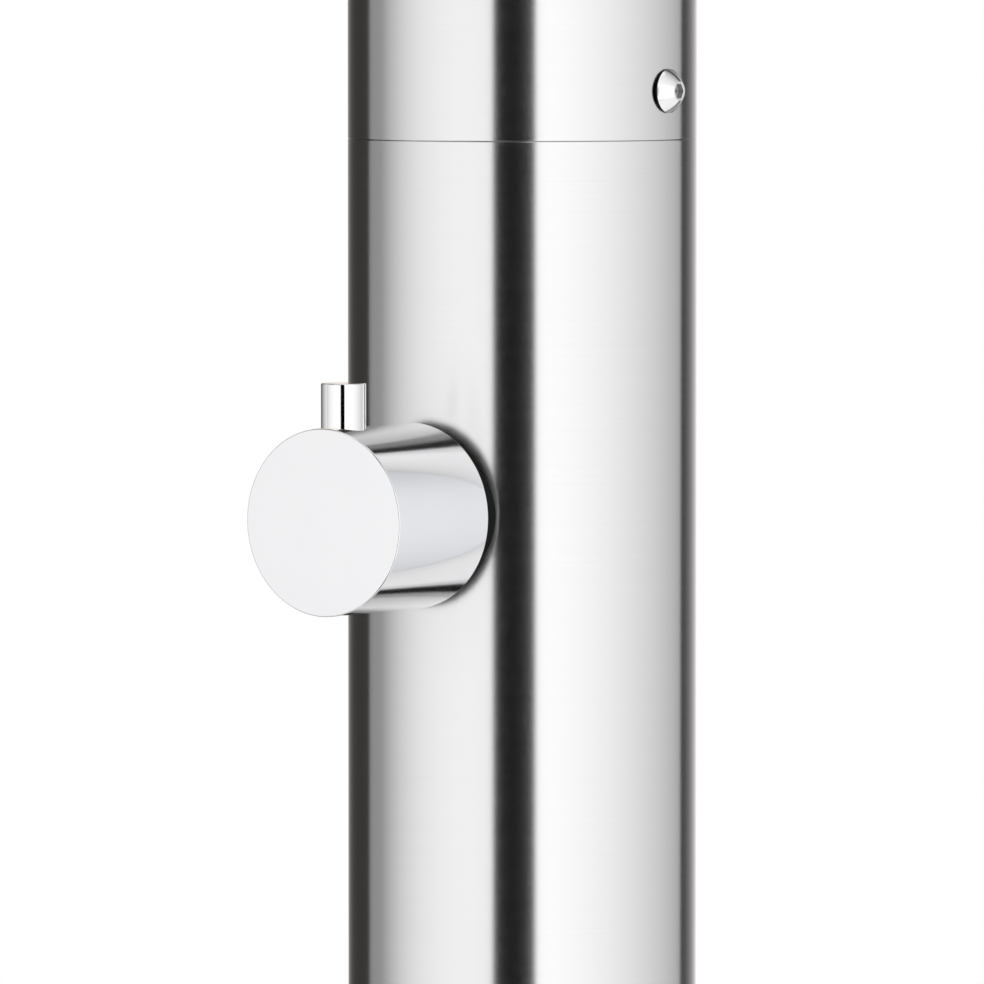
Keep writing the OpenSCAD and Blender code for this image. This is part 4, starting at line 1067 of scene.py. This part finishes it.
def makeJetMat():
    # A soft disc behind the spray plate, and a rounded nozzle on each place of the rings.
    skin = Skin((0, -arm["reach"], 0))
    foot = sprayFace + head["plate"]
    top, tip = foot + head["mat"], sprayFace - jets["out"]
    revolve(skin, outline([
        (0, foot), (jets["matRadius"], foot, 0.2), (jets["matRadius"], top, 0.2), (0, top)], 3), 144)
    root, end = foot + jets["root"], tip + jets["boreEnd"]
    nozzle = outline([
        (jets["bore"], tip, 0.12), (jets["tip"], tip, 0.3), (jets["radius"], sprayFace),
        (jets["radius"], root), (0, root), (0, end), (jets["bore"], end)], 3)
    for ring in range(jets["rings"] + 1):
        count = max(1, jets["perRing"] * ring)
        for k in range(count):
            skin.stand(polar(jets["pitch"] * ring, 2 * np.pi * k / count, 0) - (0, arm["reach"], 0))
            revolve(skin, nozzle, 20)
    skin.build("jet_mat", "silicone", "silicone", "shower_head", "nozzle_mat")


makeJetMat()

studio = {
    "floor": 6.0,  # metres each way
    "floorTone": (0.86, 0.86, 0.855),
    "sky": 0.78,  # of the world on matt surfaces
    # how sheets stand round the post: distance and height of each row of their points
    "rows": {
        "wall": [(1.6, 0.001), (1.6, 4.5)],
        "floor": [(0.125, 0.001), (1.6, 0.001), (1.6, 4.5)],
        "high": [(1.55, 1.8), (1.55, 2.9)],
        "low": [(1.0, 0.002), (1.55, 0.002), (1.55, 0.25)],
    },
    # start and end in degrees from the camera's side, level at both, how many times over the change runs
    # before it stops, how late it comes, the rows and the colour
    "sheets": [
        ("left", -18.9, -120.5, 1.085, 0.32, 1.52, 2.8, "wall", (1, 1, 1)),
        ("right", 8.4, 128.5, 1.20, 0.46, 1.0, 1.5, "wall", (1, 1, 1)),
        ("rearLeft", -120.5, -180.0, 0.04, 1.0, 1.0, 5.5, "floor", (1.07, 1.0, 0.94)),
        ("rearRight", 128.5, 180.0, 0.04, 1.0, 1.35, 1.9, "floor", (1.02, 0.99, 1.0)),
        ("behind", -18.9, 8.4, 0.0, 0.0, 1.0, 1.0, "floor", (1, 1, 1)),
        ("behindHigh", 1.0, -38.0, 0.0, 0.0, 1.0, 1.0, "high", (1, 1, 1)),
        ("leftHigh", -38.0, -80.0, 0.45, 0.75, 1.0, 1.0, "high", (1, 1, 1)),
        ("rightHigh", 1.0, 12.0, 1.1, 1.1, 1.0, 1.0, "high", (1, 1, 1)),
        ("behindLow", 3.0, -34.0, 0.0, 0.0, 1.0, 1.0, "low", (1, 1, 1)),
        ("leftLow", -34.0, -80.0, 0.32, 0.62, 1.0, 1.0, "low", (1, 1, 1)),
        ("rightLow", 3.0, 12.0, 0.9, 0.9, 1.0, 1.0, "low", (1, 1, 1)),
    ],
    "fade": (1.6, 2.4, 0.8),  # from this height to that one their level falls to this share
    # lights that one piece alone sees: degrees from the camera's side, width, watts and colour
    "strips": [
        ("knobStrip", "mixing_knob", 122.0, 1.6, 2.9, (0.86, 0.92, 1.0)),
        ("leverNear", "lever", -16.6, 0.12, 1.1, (1, 1, 1)),
        ("leverFar", "lever", 6.4, 0.10, 1.0, (1, 1, 1)),
        ("leverEdge", "lever", -115.0, 5.0, 13.2, (1, 1, 1)),
        ("knobEdge", "mixing_knob", -135.0, 2.6, 15.0, (1, 1, 1)),
    ],
    "stripAway": 1.45,
    "stripHeight": 3.0,
    "stripAim": (0.02, -0.062),
    # a lamp on the floor that the screws see: degrees, distance, size and watts
    "screwGlow": (85.0, 1.0, 2.4, 2.7),
    # the lamp that throws the shadow: place, aim, width, height and watts
    "softbox": ((-2.2, -2.6, 3.4), (0, -0.2, 1.0), 2.4, 1.8, 60.0),
}


def stageSheet(name, points, material):
    # a grid of points in metres that belongs to the studio
    mesh = bpy.data.meshes.new(name)
    quads = gridQuads(np.arange(points[..., 0].size).reshape(points.shape[:2]))
    mesh.from_pydata(points.reshape(-1, 3).tolist(), [], quads.reshape(-1, 4).tolist())
    sheet = putInScene(name, mesh)
    sheet.data.materials.append(material)
    return sheet


def standCard(name, start, end, material, rows):
    # A sheet bent round the post: angle, and distance and height in each row.
    low, high = sorted((math.radians(view["azimuth"] + start), math.radians(view["azimuth"] + end)))
    turn = np.linspace(low, high, 49)
    points = np.stack([np.stack([away * np.sin(turn), -away * np.cos(turn), height + 0 * turn], -1)
                       for away, height in rows])
    card = stageSheet("card_" + name, points, material)
    hideFrom(card, "camera", "diffuse", "shadow", "transmission")


def emitting(name, strength, colour):
    recipe = Recipe(bpy.data.materials.new("light_" + name))
    glow = recipe.node("ShaderNodeEmission", {}, {"Color": (*colour, 1), "Strength": strength(recipe)})
    recipe.node("ShaderNodeOutputMaterial", {}, {"Surface": glow})
    return recipe.owner


def lightOnly(lamp, piece):
    # the lamp shows in this piece's polish and nowhere else
    hideFrom(lamp, "diffuse")
    lit = bpy.data.collections.new(lamp.name)
    lit.objects.link(bpy.data.objects[piece])
    lamp.light_linking.receiver_collection = lit


def hangLamp(name, spot, aim, width, height, watts):
    lamp = bpy.data.lights.new(name, "AREA")
    lamp.shape = "RECTANGLE"
    lamp.size, lamp.size_y = width, height
    lamp.energy = watts
    holder = putInScene(name, lamp)
    holder.location = spot
    holder.rotation_euler = (Vector(aim) - holder.location).to_track_quat("-Z", "Y").to_euler()
    hideFrom(holder, "camera", "transmission")
    return holder


def makeStudio():
    low, high, least = studio["fade"]
    for name, start, end, first, last, times, late, rows, colour in studio["sheets"]:
        middle = math.radians(view["azimuth"] + (start + end) / 2)

        def strength(recipe):
            # the share of the way across, from the angle to the middle of the sheet
            x, y, z = recipe.split(recipe.node("ShaderNodeTexCoord", output="Object"))
            side = x * math.cos(middle) + y * math.sin(middle)
            ahead = x * math.sin(middle) - y * math.cos(middle)
            share = recipe.calc("ARCTAN2", side, ahead) / math.radians(end - start) + 0.5
            change = recipe.calc("MINIMUM", recipe.calc("MAXIMUM", share, 0.0) ** late * times, 1.0)
            climb = recipe.calc("MAXIMUM", recipe.calc("MINIMUM", (z - low) / (high - low), 1.0), 0.0)
            return (change * (last - first) + first) * (1.0 - climb * (1 - least))

        standCard(name, start, end, emitting(name, strength, colour), studio["rows"][rows])

    world = bpy.data.worlds.new("studio")
    bpy.context.scene.world = world
    recipe = Recipe(world)
    path = recipe.node("ShaderNodeLightPath", output="Is Camera Ray")
    seen = recipe.calc("MAXIMUM", recipe.calc("MAXIMUM", path, path.pick("Is Glossy Ray")),
                       path.pick("Is Transmission Ray"))
    strength = studio["sky"] + seen * (1.0 - studio["sky"])
    sky = recipe.node("ShaderNodeBackground", {}, {"Color": (1, 1, 1, 1), "Strength": strength})
    recipe.node("ShaderNodeOutputWorld", {}, {"Surface": sky})

    recipe = Recipe(bpy.data.materials.new("floor_paint"))
    mottle = recipe.noise(recipe.place(), 30.0, 3.0, 0.5)
    tone = studio["floorTone"]
    paint = recipe.finish({
        "Base Color": recipe.blend(mottle, tone, tuple(level * 0.985 for level in tone)), "Roughness": 0.85})
    x, y = np.meshgrid((-studio["floor"], studio["floor"]), (-studio["floor"], studio["floor"]))
    stageSheet("floor", np.stack([x, y, 0 * x], -1), paint)

    hideFrom(hangLamp("softbox", *studio["softbox"]), "glossy")
    aim = Vector((*studio["stripAim"], post["knobHeight"] * mm))
    for name, piece, around, width, watts, colour in studio["strips"]:
        spot = roundPost(around, studio["stripAway"], aim.z)
        strip = hangLamp(name, spot, aim, width, studio["stripHeight"], watts)
        strip.data.color = colour
        lightOnly(strip, piece)
    around, away, size, watts = studio["screwGlow"]
    low, high = (roundPost(around, away, height) for height in (0.02, 1.0))
    lightOnly(hangLamp("screwGlow", low, high, size, size, watts), "joint_screw_pair")


makeStudio()
print("studio ready")
